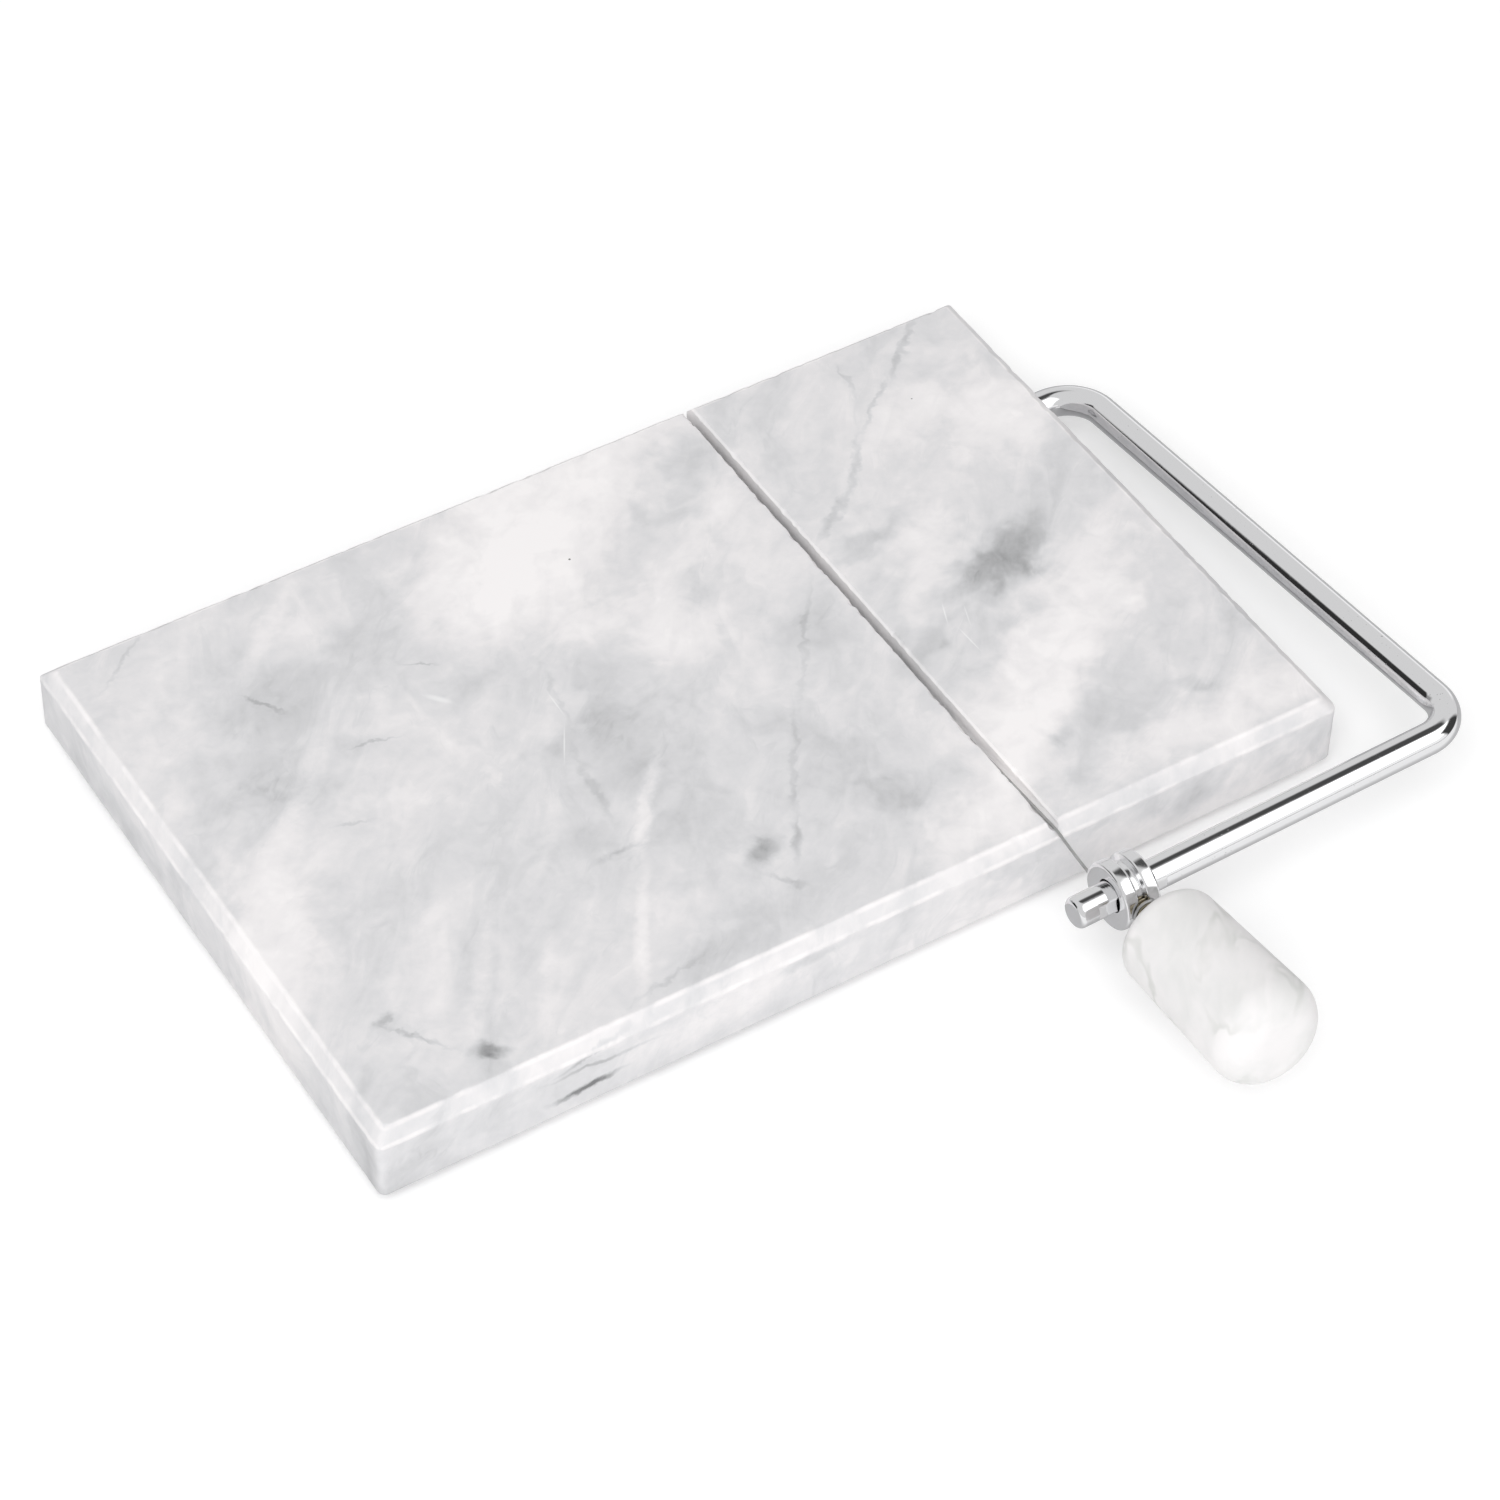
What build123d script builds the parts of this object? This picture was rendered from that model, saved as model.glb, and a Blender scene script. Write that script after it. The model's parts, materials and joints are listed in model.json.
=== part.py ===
from build123d import *
from math import acos, asin, atan2, cos, degrees, hypot, radians, sin, sqrt, tan
import os

# Marble cheese cutter: a bevelled marble slab with a saw-cut slot, a bent steel bow that
# swings on its far leg inside the slab, a steel wire stretched across the bow, and a
# marble knob whose stud clamps the grooved spool that holds the wire.
#
# Frame: millimetres, +Z up, table at Z = 0. X runs along the slab, the bow's bridge is on
# the +X side and the knob on the -Y side. The origin is the middle of the whole
# footprint, on the table.

# ---------------------------------------------------------------- driving dimensions
board_length = 200.0
board_width = 130.0
board_thickness = 15.0
bevel = 2.4  # 45 degree bevel round the top
edge_ease = 0.5  # every arris of the slab is eased by this radius
near_left_corner, near_right_corner = 1.5, 2.0  # upright corners of the slab
far_corner = 0.6

foot_diameter = 12.0
foot_height = 2.5
foot_inset = 18.0  # foot centre to the slab's faces
foot_taper = 0.8  # a foot is this much smaller in radius on the table than on the slab
foot_rounding = 0.6

slot_width = 2.0
slot_from_right = 62.1  # slot's middle to the slab's right face
slot_runout = 1.0  # slot's floor meets the near bevel this far in from the near face
slot_floor_left = 3.9  # marble left under the slot at the far face, where it is deepest
slot_arris = 0.3  # the slot's top edges are eased by this much

pivot_from_far = 29.7  # pivot axis to the slab's far face
running_clearance = 0.08  # radial, between a turning shaft and its hole
leg_past_slot = 6.0  # the pivot leg goes on this far past the slot's middle
bore_end_gap = 1.5  # from the pivot leg's end to the bottom of its bore

rod_diameter = 6.0
bridge_gap = 8.0  # from the slab's right face to the bridge, beside the pivot
spool_overhang = 19.64  # from the slab's near face to the spool's axis
splay = 1.4  # degrees that the far bend is short of a right angle
bend_radius = 8.2  # at the rod's centre line
rest_tilt = 5.0  # degrees that the bow stands up when its wire lies on the slab
tip_past_spool = 7.5
tip_rounding = 1.1
leg_end_chamfer = 0.6
flat_depth = 0.4  # flat on the near leg, where the stud presses
flat_past_spool = 3.7  # the flat goes on this far on both sides of the spool

wire_diameter = 0.6
wire_rest_gap = 0.1  # from the resting wire to the slot's floor, where it runs out
wire_drop = 9.0  # degrees that the wire dips past the slab's edge
wire_drop_length = 9.4
lip_bend_radius = 6.0
sag_bend_radius = 50.0
bead_diameter = 1.7  # swaged on the wire's end, sunk in the pivot leg
bead_clearance = 0.1
bead_depth = 0.2  # the bead lies this far below the leg's surface
eye_clearance = 0.05  # between the spool's rim and the wire's eye on the stud

spool_diameter = 13.0
spool_length = 7.2
spool_slack = 0.2  # radial, the spool slides over the rod
groove_width = 2.2  # at the rim
groove_floor_width = 1.0
groove_depth = 1.3
spool_rim = 1.0  # flat ring left round the hollow in each face of the spool
dish_depth = 0.5
spool_edge = 0.25

stud_diameter = 4.0
thread_pitch = 0.7
thread_depth = 0.35
stud_tip_gap = 0.1  # from the stud's end to the flat on the rod
stud_in_knob = 14.0
glue_gap = 0.05  # radial, round the stud inside the knob

knob_gap = 4.8  # bare stud from the spool's rim to the knob
knob_length = 35.4
knob_rear_diameter = 19.3
knob_front_diameter = 21.5
knob_rear_rounding = 3.2
knob_front_rounding = 6.0
knob_crown = 0.3  # the front face is domed by this much

# ---------------------------------------------------------------- sizes that follow
rod_r = rod_diameter / 2
wire_r = wire_diameter / 2
bead_r = bead_diameter / 2
spool_r = spool_diameter / 2
groove_r = spool_r - groove_depth
stud_r = stud_diameter / 2
tilt = radians(rest_tilt)

knob_start = spool_r + knob_gap  # from the near leg's axis, along the knob's axis
knob_end = knob_start + knob_length
crown_edge = knob_end - knob_crown  # where the domed front meets its rounding
knob_nose = (crown_edge - knob_front_rounding) * cos(tilt) + knob_front_rounding
knob_nose += (knob_front_diameter / 2 - knob_front_rounding) * sin(tilt)

# The footprint runs from the slab's left face to the bridge, and from the knob's nose to
# the slab's far face; the slab's middle is placed so that the origin is in the middle.
pivot_to_near_face = board_width - pivot_from_far
reach = (pivot_to_near_face + spool_overhang) / cos(tilt)  # pivot axis to the spool's axis
lean = tan(radians(splay))
bridge_drift = lean * (reach - rod_diameter)  # the bridge leans out towards the near bend
board_x = -(bridge_gap + rod_diameter + bridge_drift) / 2
board_y = (spool_overhang + knob_nose) / 2
board_bottom = foot_height
board_top = board_bottom + board_thickness
left_face, right_face = board_x - board_length / 2, board_x + board_length / 2
near_face, far_face = board_y - board_width / 2, board_y + board_width / 2

slot_x = right_face - slot_from_right
pivot_y = far_face - pivot_from_far
pivot_z = board_bottom + board_thickness / 2
bore_r = rod_r + running_clearance
leg_end_x = slot_x - leg_past_slot
bore_end_x = leg_end_x - bore_end_gap

# In the bow's own plane the bridge and the near leg are both turned by the splay.
bridge_x = right_face + bridge_gap + rod_r
corner_x = (bridge_x + lean * (reach + lean * slot_x)) / (1 + lean**2)
corner_reach = reach - lean * (corner_x - slot_x)
spool_left = slot_x - spool_length / 2
tip_x = spool_left - tip_past_spool
tip_reach = reach + lean * (slot_x - tip_x)
spool_y = pivot_y - reach * cos(tilt)
spool_z = pivot_z + reach * sin(tilt)

# The bow lies in this plane: its X is the pivot axis, and its Y points from the near leg
# to the pivot. The knob's plane has its Z along the knob, away from the near leg.
bow_plane = Plane(
    origin=(0, pivot_y, pivot_z), x_dir=(1, 0, 0), z_dir=(0, sin(tilt), cos(tilt))
)
knob_plane = Plane(
    origin=(slot_x, spool_y, spool_z), x_dir=(1, 0, 0), z_dir=(0, -cos(tilt), sin(tilt))
)
spool_plane = Plane(
    origin=(slot_x, spool_y, spool_z), x_dir=(1, 0, 0), z_dir=(0, sin(tilt), cos(tilt))
)
wire_plane = Plane(origin=(slot_x, 0, 0), x_dir=(0, 1, 0), z_dir=(1, 0, 0))

os.makedirs("parts", exist_ok=True)

# ---------------------------------------------------------------- marble slab
# The slot's floor leaves the near bevel at this point and falls towards the far face.
slot_start = (slot_x, near_face + slot_runout, board_top - bevel + slot_runout)
fall = atan2(slot_start[2] - board_bottom - slot_floor_left, board_width - slot_runout)
slot_plane = Plane(
    origin=slot_start, x_dir=(1, 0, 0), z_dir=(0, -cos(fall), sin(fall))
)
slot_reach = 1.5 * board_width
slot_height = 2 * board_thickness



def slab_outline(height, inset):
    """The slab's outline drawn in by inset, at a height, with its corners rounded."""
    with BuildSketch(Plane.XY.offset(height)) as outline:
        with Locations((board_x, board_y)):
            Rectangle(board_length - 2 * inset, board_width - 2 * inset)
        near, far = (group.sort_by(Axis.X) for group in outline.vertices().group_by(Axis.Y))
        fillet([far[0], far[1]], radius=far_corner)
        near = outline.vertices().group_by(Axis.Y)[0].sort_by(Axis.X)
        fillet(near[0], radius=near_left_corner)
        near = outline.vertices().group_by(Axis.Y)[0].sort_by(Axis.X)
        fillet(near[-1], radius=near_right_corner)
    return outline.sketch


with BuildPart() as board:
    add(slab_outline(board_bottom, 0))
    extrude(amount=board_thickness - bevel)
    # The bevel keeps each corner's radius as it climbs inwards at 45 degrees.
    add(slab_outline(board_top - bevel, 0))
    add(slab_outline(board_top, bevel))
    loft()
    level_edges = [e for e in board.edges() if abs((e @ 0).Z - (e @ 1).Z) < 1e-6]
    fillet(level_edges, radius=edge_ease)
    # The saw cut has a round floor; it runs out on the near bevel and through the far face.
    with BuildSketch(slot_plane):
        with BuildLine():
            half = slot_width / 2
            floor = ThreePointArc((half, half), (0, 0), (-half, half))
            Polyline(floor @ 1, (-half, slot_height), (half, slot_height), floor @ 0)
        make_face()
    extrude(amount=-slot_reach, mode=Mode.SUBTRACT)
    with BuildSketch(Plane.XZ.offset(-far_face)):
        with Locations((slot_x, board_top)):
            Polygon(
                (-half - slot_arris, 0),
                (half + slot_arris, 0),
                (half, -slot_arris),
                (-half, -slot_arris),
                align=None,
            )
    extrude(amount=board_width, mode=Mode.SUBTRACT)
    # Blind bore for the bow's pivot leg, drilled from the right face across the slot.
    with BuildSketch(Plane.YZ.offset(bore_end_x)):
        with Locations((pivot_y, pivot_z)):
            Circle(bore_r)
    extrude(amount=right_face - bore_end_x, mode=Mode.SUBTRACT)

board.part.label = "board"
export_step(board.part, "parts/board.step")

# ---------------------------------------------------------------- rubber feet
foot_places = {
    "foot_near_left": (left_face + foot_inset, near_face + foot_inset),
    "foot_near_right": (right_face - foot_inset, near_face + foot_inset),
    "foot_far_left": (left_face + foot_inset, far_face - foot_inset),
    "foot_far_right": (right_face - foot_inset, far_face - foot_inset),
}
foot_slant = degrees(atan2(foot_taper, foot_height))
for foot_name, foot_place in foot_places.items():
    with BuildPart() as foot:
        with BuildSketch(Plane.XY.offset(foot_height)):
            with Locations(foot_place):
                Circle(foot_diameter / 2)
        extrude(amount=-foot_height, taper=foot_slant)
        fillet(foot.edges().sort_by(Axis.Z)[0], radius=foot_rounding)
    foot.part.label = foot_name
    export_step(foot.part, f"parts/{foot_name}.step")

# ---------------------------------------------------------------- wire's route
# Points are (Y, Z) in the slot's middle plane. The wire leaves the pivot axis, lies on
# the place where the slot runs out, dips past the slab's edge, goes round the underside
# of the spool's groove and up to the eye on the stud.
wrap_r = groove_r + wire_r
eye_r = stud_r + running_clearance + wire_r
eye_at = spool_r + wire_r + eye_clearance  # along the knob's axis, just past the spool's rim
eye_join = eye_at - wire_r / 2  # the wire runs into the near side of the eye

lip_y, lip_z = slot_start[1], slot_start[2] + wire_r + wire_rest_gap
rise = atan2(lip_z - pivot_z, pivot_y - lip_y)
drop = radians(wire_drop)
sag_y, sag_z = lip_y - wire_drop_length * cos(drop), lip_z - wire_drop_length * sin(drop)

# Tangent from the sag to the underside of the groove.
to_spool = hypot(spool_y - sag_y, spool_z - sag_z)
heading = atan2(spool_z - sag_z, sag_y - spool_y) - asin(wrap_r / to_spool)
tangent_run = sqrt(to_spool**2 - wrap_r**2)
touch_y, touch_z = sag_y - tangent_run * cos(heading), sag_z + tangent_run * sin(heading)

# Tangent from the groove's underside to the bottom of the eye.
eye_y = spool_y - eye_join * cos(tilt) - eye_r * sin(tilt)
eye_z = spool_z + eye_join * sin(tilt) - eye_r * cos(tilt)
wrap_start = degrees(atan2(touch_z - spool_z, touch_y - spool_y)) % 360
eye_angle = degrees(atan2(eye_z - spool_z, eye_y - spool_y)) % 360
wrap_end = eye_angle + degrees(acos(wrap_r / hypot(eye_join, eye_r)))

bead_centre = rod_r - bead_depth - bead_r  # from the pivot axis, away from the spool
wire_end = bead_centre + bead_r
start_y, start_z = pivot_y + wire_end * cos(rise), pivot_z - wire_end * sin(rise)
wire_start_plane = Plane(
    origin=(slot_x, start_y, start_z), x_dir=(1, 0, 0), z_dir=(0, -cos(rise), sin(rise))
)

with BuildPart() as cutting_wire:
    with BuildLine(wire_plane) as wire_route:
        run = FilletPolyline(
            (start_y, start_z),
            (lip_y, lip_z),
            (sag_y, sag_z),
            (touch_y, touch_z),
            radius=(lip_bend_radius, sag_bend_radius),
        )
        wrap = CenterArc((spool_y, spool_z), wrap_r, wrap_start, wrap_end - wrap_start)
        Line(wrap @ 1, (eye_y, eye_z))
    with BuildSketch(wire_start_plane):
        Circle(wire_r)
    sweep(path=wire_route.wire())
    # The eye is one turn of the wire round the stud.
    with BuildSketch(spool_plane):
        with Locations((eye_r, -eye_at)):
            Circle(wire_r)
    revolve(axis=Axis(knob_plane.origin, knob_plane.z_dir), revolution_arc=360)

cutting_wire.part.label = "cutting_wire"
export_step(cutting_wire.part, "parts/cutting_wire.step")

# ---------------------------------------------------------------- wire's bead
bead_plane = Plane(
    origin=(
        slot_x,
        pivot_y + bead_centre * cos(rise),
        pivot_z - bead_centre * sin(rise),
    ),
    x_dir=(1, 0, 0),
    z_dir=(0, cos(rise), -sin(rise)),
)
with BuildPart(bead_plane) as wire_bead:
    Sphere(bead_r)
    Cylinder(wire_r, 3 * bead_r, mode=Mode.SUBTRACT)

wire_bead.part.label = "wire_bead"
export_step(wire_bead.part, "parts/wire_bead.step")

# ---------------------------------------------------------------- bent rod of the bow
wire_hole_r = wire_r + bead_clearance
bead_pocket = rod_r - bead_centre + bead_r  # from the leg's surface down to the bead's seat

with BuildPart() as bow_rod:
    with BuildLine(bow_plane) as rod_route:
        FilletPolyline(
            (leg_end_x, 0),
            (bridge_x, 0),
            (corner_x, -corner_reach),
            (tip_x, -tip_reach),
            radius=bend_radius,
        )
    with BuildSketch(Plane(origin=rod_route.wire() @ 0, z_dir=rod_route.wire() % 0)):
        Circle(rod_r)
    sweep(path=rod_route.wire())
    ends = bow_rod.faces().filter_by(GeomType.PLANE).sort_by(Axis.Y)
    fillet(ends[0].edges(), radius=tip_rounding)
    chamfer(ends[-1].edges(), length=leg_end_chamfer)
    # Flat for the stud, on the side that faces the knob.
    with BuildSketch(knob_plane.offset(rod_r - flat_depth)):
        Rectangle(spool_length + 2 * flat_past_spool, rod_diameter)
    extrude(amount=rod_diameter, mode=Mode.SUBTRACT)
    # Cross hole for the wire and the pocket that its bead sinks in.
    with BuildSketch(wire_start_plane.offset(-rod_diameter)):
        Circle(wire_hole_r)
    extrude(amount=3 * rod_diameter, mode=Mode.SUBTRACT)
    with BuildSketch(bead_plane.offset(-bead_r)):
        Circle(bead_r + bead_clearance)
    extrude(amount=bead_pocket + rod_r, mode=Mode.SUBTRACT)

bow_rod.part.label = "bow_rod"
export_step(bow_rod.part, "parts/bow_rod.step")

# ---------------------------------------------------------------- grooved spool
half_length = spool_length / 2
spool_bore_r = rod_r + spool_slack

with BuildPart() as spool:
    with BuildSketch(spool_plane):
        Polygon(
            (-half_length + dish_depth, spool_bore_r),
            (-half_length, spool_r - spool_rim),
            (-half_length, spool_r - spool_edge),
            (-half_length + spool_edge, spool_r),
            (-groove_width / 2, spool_r),
            (-groove_floor_width / 2, groove_r),
            (groove_floor_width / 2, groove_r),
            (groove_width / 2, spool_r),
            (half_length - spool_edge, spool_r),
            (half_length, spool_r - spool_edge),
            (half_length, spool_r - spool_rim),
            (half_length - dish_depth, spool_bore_r),
            align=None,
        )
    revolve(axis=Axis(spool_plane.origin, (1, 0, 0)))
    # Tapped hole for the stud, through the wall on the knob's side only.
    with BuildSketch(knob_plane):
        Circle(stud_r + running_clearance)
    extrude(amount=2 * spool_r, mode=Mode.SUBTRACT)

spool.part.label = "spool"
export_step(spool.part, "parts/spool.step")

# ---------------------------------------------------------------- threaded stud
stud_start = rod_r - flat_depth + stud_tip_gap
stud_end = knob_start + stud_in_knob
root_r = stud_r - thread_depth
turns = int((stud_end - stud_start) / thread_pitch)
thread_start = (stud_start + stud_end - turns * thread_pitch) / 2

with BuildPart() as stud:
    with BuildSketch(knob_plane):
        Circle(root_r)
    extrude(amount=stud_end)
    with BuildSketch(knob_plane):
        Circle(stud_r)
    extrude(amount=stud_start, mode=Mode.SUBTRACT)
    # The thread's crests, one ring for each turn.
    with BuildSketch(Plane(knob_plane.origin, x_dir=(1, 0, 0), z_dir=spool_plane.z_dir)):
        for turn in range(turns):
            foot_of_turn = thread_start + turn * thread_pitch
            with BuildLine():
                Polyline(
                    (root_r / 2, -foot_of_turn),
                    (root_r, -foot_of_turn),
                    (stud_r, -foot_of_turn - 0.4 * thread_pitch),
                    (stud_r, -foot_of_turn - 0.6 * thread_pitch),
                    (root_r, -foot_of_turn - thread_pitch),
                    (root_r / 2, -foot_of_turn - thread_pitch),
                    close=True,
                )
            make_face()
    revolve(axis=Axis(knob_plane.origin, knob_plane.z_dir))

stud.part.label = "stud"
export_step(stud.part, "parts/stud.step")

# ---------------------------------------------------------------- marble knob
rear_r = knob_rear_diameter / 2
front_r = knob_front_diameter / 2
dome_r = (front_r**2 + knob_crown**2) / (2 * knob_crown)
dome_span = degrees(asin(front_r / dome_r))

with BuildPart() as knob:
    with BuildSketch(spool_plane) as knob_half:
        with BuildLine():
            dome = JernArc((0, -knob_end), (1, 0), dome_r, dome_span)
            Polyline(
                dome @ 1,
                (rear_r, -knob_start),
                (0, -knob_start),
                (0, -knob_end),
            )
        make_face()
        front_corner = knob_half.vertices().sort_by(Axis.X)[-1]
        fillet(front_corner, radius=knob_front_rounding)
        rear_corner = knob_half.vertices().group_by(Axis.Y)[-1].sort_by(Axis.X)[-1]
        fillet(rear_corner, radius=knob_rear_rounding)
    revolve(axis=Axis(knob_plane.origin, knob_plane.z_dir))
    # Blind hole that the stud is glued in.
    with BuildSketch(knob_plane):
        Circle(stud_r + glue_gap)
    extrude(amount=stud_end, mode=Mode.SUBTRACT)

knob.part.label = "knob"
export_step(knob.part, "parts/knob.step")
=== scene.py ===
"""Looks of a marble cheese cutter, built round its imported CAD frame.

The slab, the knob, the bent chrome rod, the grooved spool, the threaded stud, the wire and
the rubber feet are smooth surfaces worked out with numpy, each in the place of its CAD
node. Units are metres; sizes in millimetres are multiplied by MM.
"""

import json
import logging
import math
from dataclasses import dataclass, field
from enum import Enum
from typing import Any

import bmesh
import bpy
import numpy as np
from mathutils import Matrix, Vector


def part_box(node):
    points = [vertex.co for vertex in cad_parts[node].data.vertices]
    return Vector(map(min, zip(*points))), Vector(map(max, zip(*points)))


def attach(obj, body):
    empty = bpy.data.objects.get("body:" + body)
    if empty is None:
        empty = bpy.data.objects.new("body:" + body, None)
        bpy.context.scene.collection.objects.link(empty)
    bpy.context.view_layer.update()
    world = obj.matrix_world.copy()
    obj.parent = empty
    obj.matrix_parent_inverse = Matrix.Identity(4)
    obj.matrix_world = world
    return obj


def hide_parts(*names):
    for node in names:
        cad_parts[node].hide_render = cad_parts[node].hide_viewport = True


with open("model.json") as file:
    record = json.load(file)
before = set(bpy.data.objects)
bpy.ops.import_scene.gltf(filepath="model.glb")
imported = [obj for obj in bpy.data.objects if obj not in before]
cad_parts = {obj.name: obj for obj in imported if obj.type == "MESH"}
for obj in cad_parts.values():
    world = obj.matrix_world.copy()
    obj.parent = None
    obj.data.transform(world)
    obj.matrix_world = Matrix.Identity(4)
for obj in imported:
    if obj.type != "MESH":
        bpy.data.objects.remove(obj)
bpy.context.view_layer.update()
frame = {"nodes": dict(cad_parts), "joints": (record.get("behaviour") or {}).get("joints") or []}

MM = 0.001
X_AXIS = np.array([1.0, 0.0, 0.0])
Z_AXIS = np.array([0.0, 0.0, 1.0])
Array = np.ndarray
Colour = tuple[float, float, float]
Pair = tuple[float, float]
Place = tuple[float, float, float]

log = logging.getLogger("cheese_cutter")


# ------------------------------------------------------------------ surfaces
class Ends(Enum):
    """How a stack of rings is closed."""

    FLAT = "one flat face on each end"
    POLE = "a fan round one point on each end"
    LOOPED = "the last ring joins the first"


class Seed(Enum):
    """What is drawn at random, and the number that each draw starts from."""

    EDGE_WAVER = 5
    EDGE_NICKS = 11
    LEFT_NICKS = 21
    RIGHT_NICKS = 22
    SLOT_WAVER = 23


@dataclass(frozen=True)
class Axes:
    """A local frame in the shared frame: an origin and three unit directions."""

    origin: Array
    side: Array
    up: Array
    along: Array

    def place(self, side: Array, up: Array, along: Array) -> Array:
        """Turns local coordinates into points: origin + side * S + up * U + along * A.

        Args:
            side: distances along the side direction.
            up: distances along the up direction.
            along: distances along the along direction.

        Returns:
            Points with the shape of the inputs broadcast together, and a last axis of 3.
        """
        side, up, along = np.broadcast_arrays(side, up, along)
        spread = side[..., None] * self.side + up[..., None] * self.up
        return self.origin + spread + along[..., None] * self.along

    def revolve(self, along: Array, radius: Array, around: int) -> Array:
        """Rings of a surface of revolution about the along direction.

        Ring i is the circle of radius[i] at along[i]: (r cos a, r sin a, along).

        Args:
            along: place of each ring on the axis.
            radius: radius of each ring, or one value for each ring and angle.
            around: points in each ring.

        Returns:
            Ring points, shaped (rings, around, 3).
        """
        angle = angles(around)
        radius = radius if radius.ndim == 2 else radius[:, None]
        return self.place(radius * np.cos(angle), radius * np.sin(angle), along[:, None])


def angles(count: int) -> Array:
    """Evenly spaced angles round a full turn, without the closing one."""
    return np.linspace(0, 2 * math.pi, count, endpoint=False)


def unit(vector: Array) -> Array:
    """The vector, or each row of vectors, at length one."""
    return vector / np.linalg.norm(vector, axis=-1, keepdims=True)


def rounded_path(corners: list[Pair], radii: list[float], steps: int = 10) -> Array:
    """A polyline whose inner corners are arcs tangent to both of their runs.

    The arc of radius r leaves each run at r * tan(turn / 2) from the corner, and its points
    are centre + r * (cos a, sin a) for evenly spaced angles a.

    Args:
        corners: points of the polyline in its plane.
        radii: radius at each inner corner; 0 keeps it sharp.
        steps: points on each arc.

    Returns:
        Points of the path, shaped (n, 2).
    """
    points = np.asarray(corners, float)
    out = [points[:1]]
    for before, corner, after, radius in zip(points, points[1:], points[2:], radii):
        come, leave = unit(corner - before), unit(after - corner)
        cross = come[0] * leave[1] - come[1] * leave[0]
        turn = math.atan2(cross, float(come @ leave))
        if radius == 0 or abs(turn) < 1e-9:
            out.append(corner[None])
            continue
        hand = math.copysign(1.0, turn)
        normal = hand * np.array([-come[1], come[0]])
        start = corner - come * radius * math.tan(abs(turn) / 2)
        centre = start + normal * radius
        first = math.atan2(*(start - centre)[::-1])
        sweep = first + np.linspace(0, turn, steps)
        out.append(centre + radius * np.stack([np.cos(sweep), np.sin(sweep)], -1))
    out.append(points[-1:])
    return np.concatenate(out)


def along_path(path: Array, stations: Array) -> Array:
    """Reads points off a polyline.

    Args:
        path: points of the polyline, one a row.
        stations: distances from its start.

    Returns:
        One point for each station.
    """
    steps = np.linalg.norm(np.diff(path, axis=0), axis=1)
    run = np.concatenate([[0], np.cumsum(steps)])
    return np.stack([np.interp(stations, run, path[:, i]) for i in range(path.shape[1])], -1)


def length_of(path: Array) -> float:
    """Length of a polyline."""
    return float(np.linalg.norm(np.diff(path, axis=0), axis=1).sum())


def wander(place: Array, seed: Seed, longest: float, finest: float, waves: int = 7) -> Array:
    """A smooth irregular wave between about -1 and 1.

    It is the mean of sines whose lengths shrink from longest to finest in equal ratios and
    whose phases are drawn from the seed.

    Args:
        place: where the wave is read, in metres.
        seed: chooses the phases.
        longest: longest wavelength in metres.
        finest: shortest wavelength in metres.
        waves: how many sines are used.

    Returns:
        The wave, with the shape of place.
    """
    phases = np.random.default_rng(seed.value).uniform(0, 2 * math.pi, waves)
    lengths = np.geomspace(longest, finest, waves)
    return np.sin(place[..., None] * 2 * math.pi / lengths + phases).mean(-1) * 1.6


def chips(place: Array, seed: Seed, span: Pair, count: int, width: float) -> Array:
    """Small nicks along an edge, from 0 on the sound edge to 1 in the deepest.

    Each nick is depth * (1 - (distance / half width) ** 2), cut off at 0, and the deepest
    nick counts at each place.

    Args:
        place: distance along the edge.
        seed: chooses the nicks' places, widths and depths.
        span: first and last place a nick may have.
        count: how many nicks.
        width: largest half width.

    Returns:
        Depth share at each place.
    """
    rng = np.random.default_rng(seed.value)
    centre = rng.uniform(*span, count)
    half = width * rng.uniform(0.25, 1.0, count)
    depth = rng.uniform(0.15, 1.0, count) ** 2
    nick = depth * (1 - ((place[..., None] - centre) / half) ** 2)
    return np.clip(nick, 0, None).max(-1)


def signed_volume(mesh: bpy.types.Mesh) -> float:
    """Adds up the tetrahedra from the origin to each triangle of a closed mesh.

    Args:
        mesh: the closed mesh.

    Returns:
        Volume inside it, below zero when its faces point inwards.
    """
    mesh.calc_loop_triangles()
    points = np.empty(len(mesh.vertices) * 3)
    mesh.vertices.foreach_get("co", points)
    corners = np.empty(len(mesh.loop_triangles) * 3, np.int32)
    mesh.loop_triangles.foreach_get("vertices", corners)
    a, b, c = points.reshape(-1, 3)[corners.reshape(-1, 3)].transpose(1, 0, 2)
    return float(np.einsum("ij,ij->i", a, np.cross(b, c)).sum() / 6)


def linked(name: str, data: Any) -> bpy.types.Object:
    """A new object in the scene, at the origin.

    Args:
        name: its name.
        data: its mesh, light or camera.

    Returns:
        The object.
    """
    made = bpy.data.objects.new(name, data)
    bpy.context.scene.collection.objects.link(made)
    return made


def shade(mesh: bpy.types.Mesh, sharp_from: float) -> None:
    """Smooths the faces and keeps edges that turn by more than sharp_from degrees sharp."""
    mesh.shade_smooth()
    mesh.set_sharp_from_angle(angle=math.radians(sharp_from))


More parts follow.
